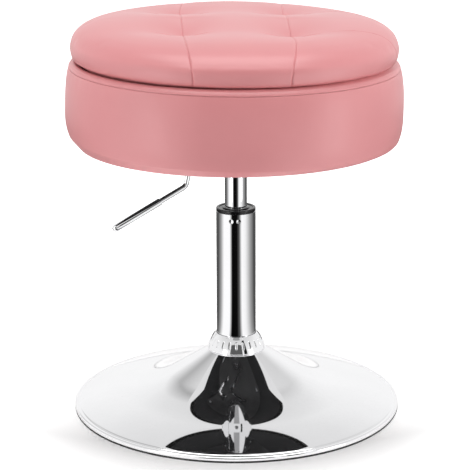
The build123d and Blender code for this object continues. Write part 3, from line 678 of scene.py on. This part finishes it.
# Trim collar with moulded flutes
def trim_collar():
    inner_foot = COLLAR_FOOT - COLLAR_WALL
    low = flank_height(inner_foot)
    top = low + COLLAR_HEIGHT
    start = Vector((COLLAR_FOOT, low + COLLAR_EDGE))
    end = Vector((COLLAR_CROWN, top - COLLAR_LIP))
    along = (end - start).normalized()
    outward = Vector((along.y, -along.x))
    outline = [(inner_foot, low)]
    outline += arc((COLLAR_FOOT - COLLAR_EDGE, low + COLLAR_EDGE), COLLAR_EDGE, -90, -10, count=6)
    for k in range(COLLAR_ROWS + 1):
        share = k / COLLAR_ROWS
        spot = start.lerp(end, share) + outward * COLLAR_BULGE * 4 * share * (1 - share)
        outline.append((spot.x, spot.y))
    outline += [(COLLAR_CROWN - COLLAR_CHAMFER, top), (COLLAR_BORE, top)]
    outline += [(COLLAR_BORE, top - 2 * COLLAR_WALL), (inner_foot, low + COLLAR_WALL), (inner_foot, low)]
    collar = turned("fluted_collar", outline, steps=FLUTES * FLUTE_STEPS)
    middle = (start + end) / 2 + outward * COLLAR_BULGE
    for point in collar.data.vertices:
        place = point.co / MM
        out = hypot(place.x, place.y)
        flat = Vector((out, place.z)) - middle
        if flat.dot(outward) < -COLLAR_BULGE - FACE_SLACK:
            continue
        turn = atan2(place.y, place.x) / (2 * pi) * FLUTES
        across = (turn - round(turn)) / FLUTES * 2 * pi * out
        half = (FLUTE_LENGTH - FLUTE_WIDTH) / 2
        run = max(abs(flat.dot(along)) - half, 0.0)
        away = hypot(across, run) / (FLUTE_WIDTH / 2)
        if away < 1:
            sink = FLUTE_DEPTH * ease(1 - away, 0.0, FLUTE_WALL)
            point.co.x -= place.x / out * outward.x * sink * MM
            point.co.y -= place.y / out * outward.x * sink * MM
            point.co.z -= outward.y * sink * MM
    complete(collar, PLATED, "base", "chrome_plastic", "trim_collar", angle=50)


# Gas cylinder
def gas_cylinder():
    cone = (CYLINDER_RADIUS, CONE_LOW)
    outline = [(CYLINDER_BORE, CYLINDER_LOW), (CYLINDER_RADIUS - CYLINDER_EDGE, CYLINDER_LOW)]
    outline += [(CYLINDER_RADIUS, CYLINDER_LOW + CYLINDER_EDGE)]
    outline += straight((CYLINDER_RADIUS, CYLINDER_LOW + CYLINDER_LIP), cone, count=20)
    outline += [cone, (CONE_TOP_RADIUS, CYLINDER_TOP), (CYLINDER_BORE, CYLINDER_TOP), outline[0]]
    cylinder = turned("lift_cylinder", outline, steps=160)
    complete(cylinder, CHROME, "seat", "chrome", "gas_cylinder")


# Release lever
lever_out = Vector((cos(radians(LEVER_TURN)), sin(radians(LEVER_TURN)), 0))
lever_side = Vector((0, 0, 1)).cross(lever_out)


def on_lever(out, height):
    """Place in the scene of a point in the lever's plane."""
    return (lever_out * out + Vector((0, 0, height))) * MM


def stand(piece, place, way):
    """Moves a mesh from the origin to a place, with its height along a direction."""
    piece.data.transform(Matrix.Translation(place) @ way.to_track_quat("Z", "Y").to_matrix().to_4x4())


def lever_rod():
    """A bent round rod: runs are extruded and bends are spun."""
    clear_selection()
    bpy.ops.mesh.primitive_circle_add(vertices=ROD_SIDES, radius=LEVER_RADIUS * MM, fill_type="NOTHING")
    rod = bpy.context.object
    rod.name = "lever_rod_bent"
    stand(rod, on_lever(*LEVER_START), lever_out)
    set_mode("EDIT")
    bpy.ops.mesh.select_mode(type="EDGE")
    bpy.ops.mesh.select_all(action="SELECT")
    corners = [Vector(LEVER_START), Vector(LEVER_ELBOW), Vector(LEVER_KNEE), Vector(LEVER_TIP)]
    spot = corners[0]
    for before, corner, after in zip(corners, corners[1:], corners[2:]):
        way_in = (corner - before).normalized()
        way_out = (after - corner).normalized()
        bend = way_in.angle_signed(way_out)
        cut = LEVER_BEND * tan(abs(bend) / 2)
        arrive = corner - way_in * cut
        bpy.ops.mesh.extrude_region_move(
            TRANSFORM_OT_translate={"value": on_lever(*arrive) - on_lever(*spot)}
        )
        turn_side = Vector((way_in.y, -way_in.x)) if bend > 0 else Vector((-way_in.y, way_in.x))
        centre = on_lever(*(arrive + turn_side * LEVER_BEND))
        axis = lever_side if bend > 0 else -lever_side
        bpy.ops.mesh.spin(steps=14, angle=-abs(bend), center=centre, axis=axis)
        spot = corner + way_out * cut
    bpy.ops.mesh.extrude_region_move(
        TRANSFORM_OT_translate={"value": on_lever(*corners[-1]) - on_lever(*spot)}
    )
    bpy.ops.mesh.select_mode(type="VERT")
    bpy.ops.mesh.select_all(action="SELECT")
    bpy.ops.mesh.remove_doubles(threshold=0.000005)
    bpy.ops.mesh.fill_holes(sides=0)
    bpy.ops.mesh.normals_make_consistent(inside=False)
    set_mode("OBJECT")
    boss_outline = [(BOSS_BORE, -BOSS_HALF), (BOSS_RADIUS - BOSS_EDGE, -BOSS_HALF)]
    boss_outline += [(BOSS_RADIUS, BOSS_EDGE - BOSS_HALF), (BOSS_RADIUS, BOSS_HALF - BOSS_EDGE)]
    boss_outline += [(BOSS_RADIUS - BOSS_EDGE, BOSS_HALF), (BOSS_BORE, BOSS_HALF)]
    boss = turned("lever_boss", boss_outline + [boss_outline[0]], steps=48)
    stand(boss, on_lever(LEVER_PIVOT, LEVER_START[1]), lever_side)
    complete(boss, STEEL, "lever", "chrome")
    complete(rod, CHROME, "lever", "chrome", "lever_rod")


def lever_grip():
    """Plated sleeve with a turned-in mouth and a round end."""
    outline = [(LEVER_RADIUS, 0.0), (GRIP_RADIUS - GRIP_EDGE, 0.0), (GRIP_RADIUS, GRIP_EDGE)]
    outline += straight((GRIP_RADIUS, GRIP_LIP), (GRIP_RADIUS, GRIP_LENGTH), count=12)
    outline += arc((0.0, GRIP_LENGTH), GRIP_RADIUS, 0, 90, count=14)
    outline[-1] = (0.0, GRIP_LENGTH + GRIP_RADIUS)
    outline += [(0.0, GRIP_LENGTH), (LEVER_RADIUS, GRIP_LENGTH), (LEVER_RADIUS, 0.0)]
    grip = turned("lever_sleeve", outline, steps=64)
    run = Vector(LEVER_TIP) - Vector(LEVER_KNEE)
    way = (lever_out * run.x + Vector((0, 0, run.y))).normalized()
    stand(grip, on_lever(*LEVER_TIP) - way * GRIP_LENGTH * MM, way)
    complete(grip, CHROME, "lever", "chrome_plastic", "lever_grip")


# Box: padded side under its cover, and the band over the rim
def box_side():
    foot_corner = BOX_LOW + FOOT_ROUND
    outline = [(WRAP_INNER, BOX_LOW + COVER), (WRAP_INNER, BOX_LOW + 0.2), (WRAP_INNER + 0.4, BOX_LOW)]
    outline += [(190.0, BOX_LOW)]
    outline += through(
        [
            (WALL_OUTSIDE - 1.0, BOX_LOW), (199.4, BOX_LOW + 2.9), (202.8, BOX_LOW + 6.2),
            (FOOT_RADIUS + 0.2, foot_corner + 0.8), (208.3, 366.0), (209.8, 377.0),
            (BELLY_RADIUS, 390.0), (210.0, 404.0), (209.4, 418.0), (207.9, 431.0), (206.5, 438.0),
            (205.7, 440.6), (205.2, SEAM_HEIGHT - 0.5), (204.5, SEAM_HEIGHT),
            (201.0, SEAM_HEIGHT + 0.1),
        ],
        count=8,
    )
    outline += [(WALL_OUTSIDE + 0.2, SEAM_HEIGHT - 0.4), (WALL_OUTSIDE + 0.2, BOX_LOW + COVER), outline[0]]
    side = turned("box_side", outline, steps=320)
    for point in side.data.vertices:
        place = point.co / MM
        out = hypot(place.x, place.y)
        turn = atan2(place.y, place.x)
        swell = BOX_SWELL * ripple(turn, SWELL_WAVES, place.z * SWELL_RISE)
        pucker = BOX_PUCKER * ease(place.z, *PUCKER_BAND)
        pucker *= ripple(turn, PUCKER_WAVES, place.z * PUCKER_RISE)
        join = (turn - pi / 2) * out
        groove = -JOIN_DEPTH * exp(-((join / JOIN_WIDTH) ** 2))
        groove += WELT_HEIGHT * exp(-(((abs(join) - WELT_AWAY) / WELT_WIDTH) ** 2))
        grown = (out + ease(out, *BOX_LOOSE) * (swell + pucker + groove)) / out
        place = Vector((place.x * grown, place.y * grown, place.z))
        share = 1.0 + FOOT_LEAN * (1 - ease(place.z, *FOOT_BAND))
        point.co = lean(place, share * ease(out, *BOX_FREE)) * MM
    complete(side, PINK, "seat", "pink_leatherette", "box_cover", "box_foam", angle=60)


def rim_roll():
    outline = through(
        [
            (201.0, SEAM_HEIGHT + 0.2), (204.4, SEAM_HEIGHT + 0.25), (204.9, SEAM_HEIGHT + 0.8),
            (204.5, SEAM_HEIGHT + 1.9), (203.4, SEAM_HEIGHT + 3.6), (201.6, SEAM_HEIGHT + 5.2),
            (198.8, SEAM_HEIGHT + 6.4), (195.8, RIM_TOP - 0.3), (194.0, RIM_TOP - 0.4),
            (192.6, RIM_TOP - 1.4), (191.7, WALL_TOP - 1.0), (191.5, WALL_TOP - 3.0),
        ],
        count=6,
    )
    outline += [(191.5, LINING_TOP), (WALL_INSIDE, LINING_TOP), (WALL_INSIDE, WALL_TOP)]
    outline += [(WALL_OUTSIDE, WALL_TOP), (WALL_OUTSIDE, SEAM_HEIGHT + 0.2), outline[0]]
    roll = turned("rim_roll", outline, steps=320)
    for point in roll.data.vertices:
        place = point.co / MM
        out = hypot(place.x, place.y)
        turn = atan2(place.y, place.x)
        pucker = RIM_PUCKER * ripple(turn, RIM_WAVES, RIM_SEED)
        grown = (out + ease(out, *RIM_LOOSE) * pucker) / out
        place = Vector((place.x * grown, place.y * grown, place.z))
        point.co = lean(place, ease(out, *RIM_FREE)) * MM
    complete(roll, PINK, "seat", "pink_leatherette", "rim_band", angle=60)


# Lid cushion: stuffed, drawn in at the hem, sewn in a square and pulled down at the tufts
LID_PROFILE = [
    (188.0, 0.0), (193.5, 0.1), (197.6, 1.7), (200.2, 5.0), (201.8, 11.0), (LID_RADIUS, 17.5),
    (201.3, 25.2), (197.8, 32.6), (191.5, 38.6), (182.0, 43.6), (168.0, 47.6),
    (150.0, 50.6), (120.0, 52.2), (80.0, 52.8), (40.0, 53.0),
]
LID_SIDE = through([(out, LID_LOW + up) for out, up in LID_PROFILE] + [(0.0, LID_TOP)], count=4)


def to_tuft(place):
    """How far a place lies from the nearest tuft."""
    return hypot(abs(place.x) - TUFT_HALF, abs(place.y) - TUFT_HALF)


def tuft_slope(place):
    """Distance from the nearest tuft for its dip: steep on the near side, long on the far side."""
    along = place.y - (TUFT_HALF if place.y > 0 else -TUFT_HALF)
    along *= TUFT_NEAR if along < 0 else TUFT_FAR
    return hypot(TUFT_ACROSS * (abs(place.x) - TUFT_HALF), along)


def to_long_seam(place):
    """How far a place lies from the nearest seam that runs from front to back."""
    return abs(abs(place.x) - TUFT_HALF)


def to_cross_seam(place):
    """How far a place lies from the nearest seam that runs from left to right."""
    return abs(abs(place.y) - TUFT_HALF)


def to_seam(place):
    """How far a place lies from the nearest seam."""
    return min(to_long_seam(place), to_cross_seam(place))


def lid_cushion():
    """The cushion's shape before it is stuffed, with its dips."""
    outline = [(out, LID_LOW) for out in LID_UNDER] + LID_SIDE
    lid = turned("lid_cushion", outline, steps=160)
    finish_with(lid, "REMESH", mode="VOXEL", voxel_size=LID_VOXEL)
    finish_with(lid, "SMOOTH", factor=0.5, iterations=4)
    for point in lid.data.vertices:
        place = point.co / MM
        if place.z > HEM_TOP:
            sink = TUFT_DEPTH * exp(-((tuft_slope(place) / TUFT_SPREAD) ** TUFT_POWER))
            sink += SEAM_PULL * exp(-((to_long_seam(place) / SEAM_SOFT) ** 2))
            sink += FRONT_DROP * ease(-place.y, 0.0, DROP_REACH) * ease(place.z, *DROP_BAND)
            point.co.z -= sink * MM
    return lid


def stuff(lid):
    """Blows the cover up between its seams as the foam does."""
    held = lid.vertex_groups.new(name="held")
    for point in lid.data.vertices:
        place = point.co / MM
        weight = 1 - ease(place.z, *HEM_HOLD)
        if place.z > CROWN_LOW:
            weight = max(
                1 - ease(to_tuft(place), *TUFT_HOLD),
                LONG_HOLD * (1 - ease(to_long_seam(place), *SEAM_HOLD)),
                CROSS_HOLD * (1 - ease(to_cross_seam(place), *SEAM_HOLD)),
            )
        held.add([point.index], weight, "REPLACE")
    start = [point.co.copy() for point in lid.data.vertices]
    pick(lid)
    cloth = lid.modifiers.new("Stuffing", "CLOTH")
    settings = cloth.settings
    settings.quality = 5
    settings.mass = 0.25
    settings.tension_stiffness = 12.0
    settings.compression_stiffness = 12.0
    settings.bending_stiffness = 2.0
    settings.use_pressure = True
    settings.uniform_pressure_force = 4.0
    settings.effector_weights.gravity = 0.0
    settings.vertex_group_mass = held.name
    settings.pin_stiffness = 1.0
    for moment in range(1, STUFFING_FRAMES + 1):
        scene.frame_set(moment)
    bpy.ops.object.modifier_apply(modifier=cloth.name)
    scene.frame_set(1)
    for point, before in zip(lid.data.vertices, start):
        shift = point.co - before
        if shift.length > LID_SWELL * MM:
            point.co = before + shift.normalized() * LID_SWELL * MM
    lid.vertex_groups.clear()
    finish_with(lid, "SMOOTH", factor=0.5, iterations=3)


def draw_hem(lid):
    """Pulls the lower edge back to its line, flat under the board and round at the side."""
    line = []
    for out, height in LID_SIDE:
        away = (out - HEM_CENTRE[0], height - HEM_CENTRE[1])
        line.append((atan2(away[1], away[0]), hypot(*away)))
    line = [spot for spot in line if spot[0] < HEM_END]
    for point in lid.data.vertices:
        place = point.co / MM
        out = hypot(place.x, place.y)
        if out <= HEM_CENTRE[0]:
            if place.z < HEM_FLAT:
                point.co.z = LID_LOW * MM
            continue
        away = (out - HEM_CENTRE[0], place.z - HEM_CENTRE[1])
        turn = atan2(away[1], away[0])
        if turn > HEM_FREE[1]:
            continue
        hold = 1 - ease(turn, *HEM_FREE)
        reach = hypot(*away)
        for (t0, d0), (t1, d1) in zip(line, line[1:]):
            if t0 <= turn <= t1:
                aim = d0 + (d1 - d0) * (turn - t0) / (t1 - t0)
                reach += (aim - reach) * hold
        new_out = HEM_CENTRE[0] + reach * cos(turn)
        widen(point, new_out / out)
        point.co.z = (HEM_CENTRE[1] + reach * sin(turn)) * MM


def sew(lid):
    """Cuts the seams into the cover, presses them in and bends them towards the rim."""
    finish_with(lid, "SUBSURF", levels=1, render_levels=1)
    draw_hem(lid)
    cuts = []
    for way in (Vector((1, 0, 0)), Vector((0, 1, 0))):
        for place in (-TUFT_HALF, TUFT_HALF):
            for beside in (-SEAM_HALF, 0.0, SEAM_HALF):
                cuts.append((way * (place + beside) * MM, way))
    for spot, way in cuts:
        pick(lid)
        for face in lid.data.polygons:
            near = abs((face.center - spot).dot(way)) < CUT_REACH
            face.select = near and face.center.z > CUT_LOW * MM
        for edge in lid.data.edges:
            edge.select = False
        set_mode("EDIT")
        bpy.ops.mesh.select_mode(type="FACE")
        bpy.ops.mesh.bisect(plane_co=spot, plane_no=way, use_fill=False)
        set_mode("OBJECT")
    lid.data.update()
    normals = [point.normal.copy() for point in lid.data.vertices]
    for point, normal in zip(lid.data.vertices, normals):
        place = point.co / MM
        across = to_seam(place)
        if place.z > GROOVE_LOW and across < GROOVE_HALF:
            depth = SEAM_GROOVE
            if to_cross_seam(place) < to_long_seam(place):
                by_tuft = CROSS_BY_TUFT * (1 - ease(to_tuft(place), *CROSS_SPAN))
                depth *= max(by_tuft, CROSS_AT_RIGHT * ease(place.x, *RIGHT_SPAN))
            point.co -= normal * depth * (1 - across / GROOVE_HALF) * MM
    for point in lid.data.vertices:
        point.co = settle(point.co / MM) * MM


def settle(place):
    """Moves a place of the sewn cover to where uneven sewing left it."""
    side = ease(place.x, *SIDE_SPAN)
    rear = ease(place.y, -TUFT_HALF, TUFT_HALF)
    front_pull = FRONT_TUFTS[0] + (FRONT_TUFTS[1] - FRONT_TUFTS[0]) * side
    rear_pull = REAR_TUFTS[0] + (REAR_TUFTS[1] - REAR_TUFTS[0]) * side
    out = hypot(place.x, place.y)
    near = 1 - ease(out, *PULL_SPAN)
    pull = (front_pull + (rear_pull - front_pull) * rear) * near
    squeeze = (LEFT_SQUEEZE * (1 - side) * (1 - rear) - RIGHT_SQUEEZE * side) * near
    if place.z > PULL_LOW:
        place = Vector((place.x + squeeze, place.y - pull, place.z))
    out = hypot(place.x, place.y)
    turn = atan2(place.y, place.x)
    begin, crown_bend, side_bend = [a + (b - a) * side for a, b in zip(LEFT_SEAM, RIGHT_SEAM)]
    bend = crown_bend * ease(out, begin, LID_RADIUS - SEAM_END)
    bend += side_bend * ease(out, *BEND_OUT) * (1 - ease(place.z, *BEND_UP))
    turn += radians(TUFT_TURN - bend * sin(4 * turn))
    wave = HEM_WAVE * ripple(turn, HEM_WAVES, HEM_SEED)
    wave += HEM_LIFT * exp(-(((turn - radians(LIFT_TURN)) / radians(LIFT_SPREAD)) ** 2))
    wave *= ease(out, *WAVE_OUT) * (1 - ease(place.z, *WAVE_UP))
    share = max(ease(out, *LEAN_OUT), ease(place.z, *LEAN_UP))
    return lean(Vector((out * cos(turn), out * sin(turn), place.z + wave)), share)


def lid_cover():
    lid = lid_cushion()
    stuff(lid)
    sew(lid)
    complete(lid, PINK, "lid", "pink_leatherette", "lid_cover", "lid_foam", angle=60)


floor_plate()
column_tube()
guide_bush()
trim_collar()
gas_cylinder()
lever_rod()
lever_grip()
box_side()
rim_roll()
lid_cover()

# Finishes of the pieces that keep their own solids
FINISHES = [
    (RUBBER, ("floor_ring", "bump_stop", "piston_seal")),
    (BLACK_PAINT, ("neck_socket", "rod_clip", "taper_socket", "seat_plate")),
    (
        STEEL,
        (
            "tube_end_plate", "column_bolts", "lower_race", "upper_race", "piston", "rod_washer",
            "rod_gland", "valve_body", "release_pin", "pivot_pin", "pivot_clips", "plate_screws",
        ),
    ),
    (BLACK_PLASTIC, ("ball_cage", "tuft_anchors")),
    (CHROME, ("bearing_balls", "piston_rod")),
    (DUST_CLOTH, ("dust_cover",)),
    (BOARD, ("box_floor", "box_wall", "lid_board")),
    (LINING, ("floor_lining", "box_lining", "lid_lining")),
    (PINK, ("lid_ring",)),
]
for material, labels in FINISHES:
    for label in labels:
        dress(nodes[label], material)


# Studio: floor with a painted shade round the base and painted light behind it, pale room, soft lamps and
# cards that only polished faces see
def is_seen(tree):
    """One for what is seen directly, in polished metal or through a clear face."""
    path = add(tree, "LightPath")
    seen = compute(tree, "MAXIMUM", path.outputs["Is Camera Ray"], path.outputs["Is Glossy Ray"])
    return compute(tree, "MAXIMUM", seen, path.outputs["Is Transmission Ray"])


def ramp(tree, value, stops):
    """Grey that follows stops of (place, shade)."""
    node = add(tree, "ValToRGB")
    tree.links.new(value, node.inputs["Fac"])
    marks = node.color_ramp.elements
    while len(marks) < len(stops):
        marks.new(0.5)
    for mark, (place, shade) in zip(marks, stops):
        mark.position = place
        mark.color = (shade, shade, shade, 1.0)
    return node.outputs["Color"]


def bearing(tree, place):
    """Turn about the column, from 0 behind it through 0.5 at its front and round again."""
    turn = add(tree, "Mapping")
    preset(turn, {"Rotation": (0.0, 0.0, radians(90.0))})
    tree.links.new(place, turn.inputs["Vector"])
    wheel = add(tree, "TexGradient")
    wheel.gradient_type = "RADIAL"
    tree.links.new(turn.outputs["Vector"], wheel.inputs["Vector"])
    return wheel.outputs["Fac"]


def by_turn(stops):
    """Ramp stops from turns in degrees, measured from the front towards the right."""
    return [(turn / 360.0 + 0.5, shade) for turn, shade in stops]


def studio_room():
    world = bpy.data.worlds.new("studio")
    scene.world = world
    world.use_nodes = True
    tree = world.node_tree
    glow = tree.nodes["Background"]
    preset(glow, {"Color": (1.0, 1.0, 1.0, 1.0)})
    way = add(tree, "TexCoord").outputs["Generated"]
    split = add(tree, "SeparateXYZ")
    tree.links.new(way, split.inputs[0])
    rise = ramp(tree, split.outputs["Z"], ROOM_RISE)
    sides = ramp(tree, bearing(tree, way), by_turn(ROOM_SIDES))
    high = ramp(tree, split.outputs["Z"], ROOM_HIGH)
    darker = compute(tree, "MULTIPLY", compute(tree, "SUBTRACT", 1.0, sides), high)
    room = compute(tree, "MULTIPLY", rise, compute(tree, "SUBTRACT", 1.0, darker))
    fill = ramp(tree, bearing(tree, way), by_turn(ROOM_FILL))
    tree.links.new(spread(tree, is_seen(tree), fill, room), glow.inputs["Strength"])


def studio_floor():
    clear_selection()
    bpy.ops.mesh.primitive_plane_add(size=24.0, location=(0, 0, 0))
    floor = bpy.context.object
    floor.name = "studio_floor"
    material, tree, shader = new_material("pale_floor")
    preset(shader, {"Base Color": (0.9, 0.9, 0.9, 1.0), "Emission Color": (1.0, 1.0, 1.0, 1.0)})
    preset(shader, {"Roughness": 0.9, "Specular IOR Level": 0.0})
    place = add(tree, "TexCoord").outputs["Object"]
    length = add(tree, "VectorMath")
    length.operation = "LENGTH"
    tree.links.new(place, length.inputs[0])
    # The floor's glow for the camera is none beside the base and grows with distance: a painted shade
    # round the base, over its real shadow
    glow = ramp(tree, compute(tree, "MULTIPLY", length.outputs["Value"], FLOOR_SCALE), FLOOR_GLOW_PAINTED_SHADE)
    # Extra glow behind and beside the stool at every distance: painted light over the shadow of the seat
    # on the floor
    rear = ramp(tree, bearing(tree, place), by_turn(FLOOR_REAR_PAINTED_LIGHT))
    glow = compute(tree, "MAXIMUM", glow, rear)
    in_view = add(tree, "LightPath").outputs["Is Camera Ray"]
    tree.links.new(spread(tree, in_view, FLOOR_BOUNCE, glow), shader.inputs["Emission Strength"])
    dress(floor, material)


def card(name, stops, strength):
    """A flat card for polished faces alone: dark and light by turn, and clear from behind."""
    piece = bpy.context.object
    piece.name = name
    material, tree, shader = new_material(name)
    preset(shader, {"Base Color": (0, 0, 0, 1), "Specular IOR Level": 0.0, "Emission Strength": strength})
    place = add(tree, "TexCoord").outputs["Object"]
    tree.links.new(ramp(tree, bearing(tree, place), by_turn(stops)), shader.inputs["Emission Color"])
    back = add(tree, "NewGeometry").outputs["Backfacing"]
    tree.links.new(compute(tree, "SUBTRACT", 1.0, back), shader.inputs["Alpha"])
    dress(piece, material)
    for ray in ("visible_camera", "visible_diffuse", "visible_transmission", "visible_shadow"):
        setattr(piece, ray, False)


def flag_reach(across, ahead):
    """How far the flag's hole reaches in a direction with the given parts across and ahead."""
    reach = min(REAR_REACH, SIDE_REACH / max(abs(across), LEAST_PART))
    if ahead <= 0:
        return reach
    front = LEVER_REACH if across < LEVER_SIDE else FRONT_REACH
    return min(reach, front / max(ahead, LEAST_PART))


def ring_card(name, inner, outer, height, stops, strength, down=False, hole=None):
    """A level ring, with a hole of its own outline where one is given."""
    outline = [(inner / MM, height / MM), (outer / MM, height / MM)]
    piece = turned(name, outline, steps=180)
    for point in piece.data.vertices:
        out = hypot(point.co.x, point.co.y)
        if hole and out < (inner + outer) / 2:
            widen(point, hole(point.co.x / out, -point.co.y / out) / out)
    upward = piece.data.polygons[0].normal.z > 0
    if upward == down:
        piece.data.flip_normals()
    pick(piece)
    card(name, stops, strength)


def wall_card(name, place, size, shade, strength=1.0):
    """An upright card that faces the column."""
    clear_selection()
    facing = (Vector((0, 0, place[2])) - Vector(place)).to_track_quat("Z", "Y").to_euler()
    bpy.ops.mesh.primitive_plane_add(size=1.0, location=place, rotation=facing)
    piece = bpy.context.object
    piece.scale = (size[0], size[1], 1.0)
    card(name, [(-180, shade), (180, shade)], strength)


def softbox(name, place, aim, size, power, mirrored=True):
    """An area lamp, which polished faces see only where it is mirrored."""
    lamp = bpy.data.lights.new(name, "AREA")
    lamp.shape = "RECTANGLE"
    lamp.size, lamp.size_y = size
    lamp.energy = power
    holder = bpy.data.objects.new(name, lamp)
    scene.collection.objects.link(holder)
    holder.visible_glossy = mirrored
    holder.location = place
    holder.rotation_euler = (Vector(aim) - Vector(place)).to_track_quat("-Z", "Y").to_euler()


# Shades by turn in degrees, by rise, or by distance from the column, in metres times FLOOR_SCALE
ROOM_FILL = [(-180, 0.4), (-100, 0.45), (-40, 0.06), (40, 0.06), (100, 0.5), (180, 0.4)]
# Floor's glow by distance: none out to just past the rim, which paints a shade round the base over its
# real shadow, and full white far off
FLOOR_GLOW_PAINTED_SHADE = [(0.1035, 0.0), (0.1075, 0.0), (0.115, 0.1), (0.14, 0.38), (0.25, 0.5), (0.8, 1.0)]
# Floor's extra glow behind and beside the stool: painted light that hides the seat's shadow there
FLOOR_REAR_PAINTED_LIGHT = [(-180, 0.55), (-80, 0.5), (-50, 0.0), (50, 0.0), (80, 0.5), (180, 0.55)]
FLOOR_BOUNCE = 0.3
FLOOR_SCALE = 0.5
ROOM_RISE = [(0.0, 1.0), (0.3, 1.02), (0.5, 0.95), (0.65, 0.84), (0.8, 0.78), (0.95, 0.78)]
ROOM_HIGH = [(0.1, 0.0), (0.3, 1.0)]
ROOM_SIDES = [(-152, 1.0), (-140, 0.55), (-128, 1.0), (128, 1.0), (139, 0.85), (150, 1.0)]
COLUMN_SHADES = [
    (-180, 0.1), (-120, 0.08), (-95, 0.35), (-72, 1.0), (-36, 1.0), (-23, 0.002), (6, 0.004),
    (19, 0.1), (33, 1.0), (54, 0.9), (88, 0.35), (122, 0.07), (180, 0.1),
]
FLAG_SHADES = [(-180, 1.0), (-24, 1.0), (-19, 0.45), (19, 0.45), (24, 1.0), (180, 1.0)]

# Flag under the seat and the reach of its hole, in metres, and where the lamps aim
SIDE_REACH = 0.166
REAR_REACH = 0.195
LEVER_REACH = 0.135
FRONT_REACH = 0.06
LEVER_SIDE = -0.3
LEAST_PART = 0.1
SEAT_EDGE = 0.2125
SHADE_STOPS = [(-180, 0.01), (180, 0.01)]
LID_AIM = (0.0, 0.0, 0.4)
BOX_AIM = (0.0, 0.0, 0.35)

studio_room()
studio_floor()
ring_card("column_card", inner=0.045, outer=1.6, height=0.085, stops=COLUMN_SHADES, strength=1.1)
ring_card("seat_flag", 0.17, SEAT_EDGE, 0.344, FLAG_SHADES, strength=0.8, down=True, hole=flag_reach)
wall_card("camera_card", place=(0.0, -2.8, 1.5), size=(2.6, 2.6), shade=0.12)
wall_card("lever_card", place=(0.86, -1.1, 1.0), size=(0.3, 1.5), shade=0.01)
wall_card("left_strip", place=(-0.52, -0.5, 0.22), size=(0.2, 0.42), shade=1.0, strength=2.6)
wall_card("right_strip", place=(0.64, -0.36, 0.22), size=(0.2, 0.42), shade=1.0, strength=2.6)
ring_card("seat_shade", 0.18, SEAT_EDGE, 0.3446, SHADE_STOPS, strength=1.0, down=True)
softbox("top_softbox", (0.0, -0.3, 2.4), LID_AIM, size=(2.4, 1.8), power=37.0)
softbox("left_softbox", (-2.3, -1.2, 1.0), BOX_AIM, size=(1.3, 2.0), power=21.0, mirrored=False)
softbox("right_softbox", (2.5, -0.9, 1.0), BOX_AIM, size=(1.3, 2.0), power=25.0, mirrored=False)


# Camera at the photograph's place, with its focal length and side shift in the photograph's pixels
SENSOR_WIDTH = 36.0
PHOTO_WIDTH = 470.0
FOCAL_PIXELS = 1799.5
SHIFT_PIXELS = -0.98
CAMERA_PLACE = (0.0, -2.2, 0.8382)
CAMERA_DIP = 15.6
CAMERA_ROLL = -0.196


def photo_camera():
    lens = bpy.data.cameras.new("photo_camera")
    lens.sensor_width = SENSOR_WIDTH
    lens.lens = SENSOR_WIDTH * FOCAL_PIXELS / PHOTO_WIDTH
    lens.shift_x = SHIFT_PIXELS / PHOTO_WIDTH
    camera = bpy.data.objects.new("photo_camera", lens)
    scene.collection.objects.link(camera)
    camera.location = CAMERA_PLACE
    tilt = Matrix.Rotation(radians(90.0 - CAMERA_DIP), 3, "X")
    camera.rotation_euler = (tilt @ Matrix.Rotation(radians(CAMERA_ROLL), 3, "Z")).to_euler()
    bpy.context.scene.camera = camera


photo_camera()
bpy.context.scene.view_settings.view_transform = "Standard"
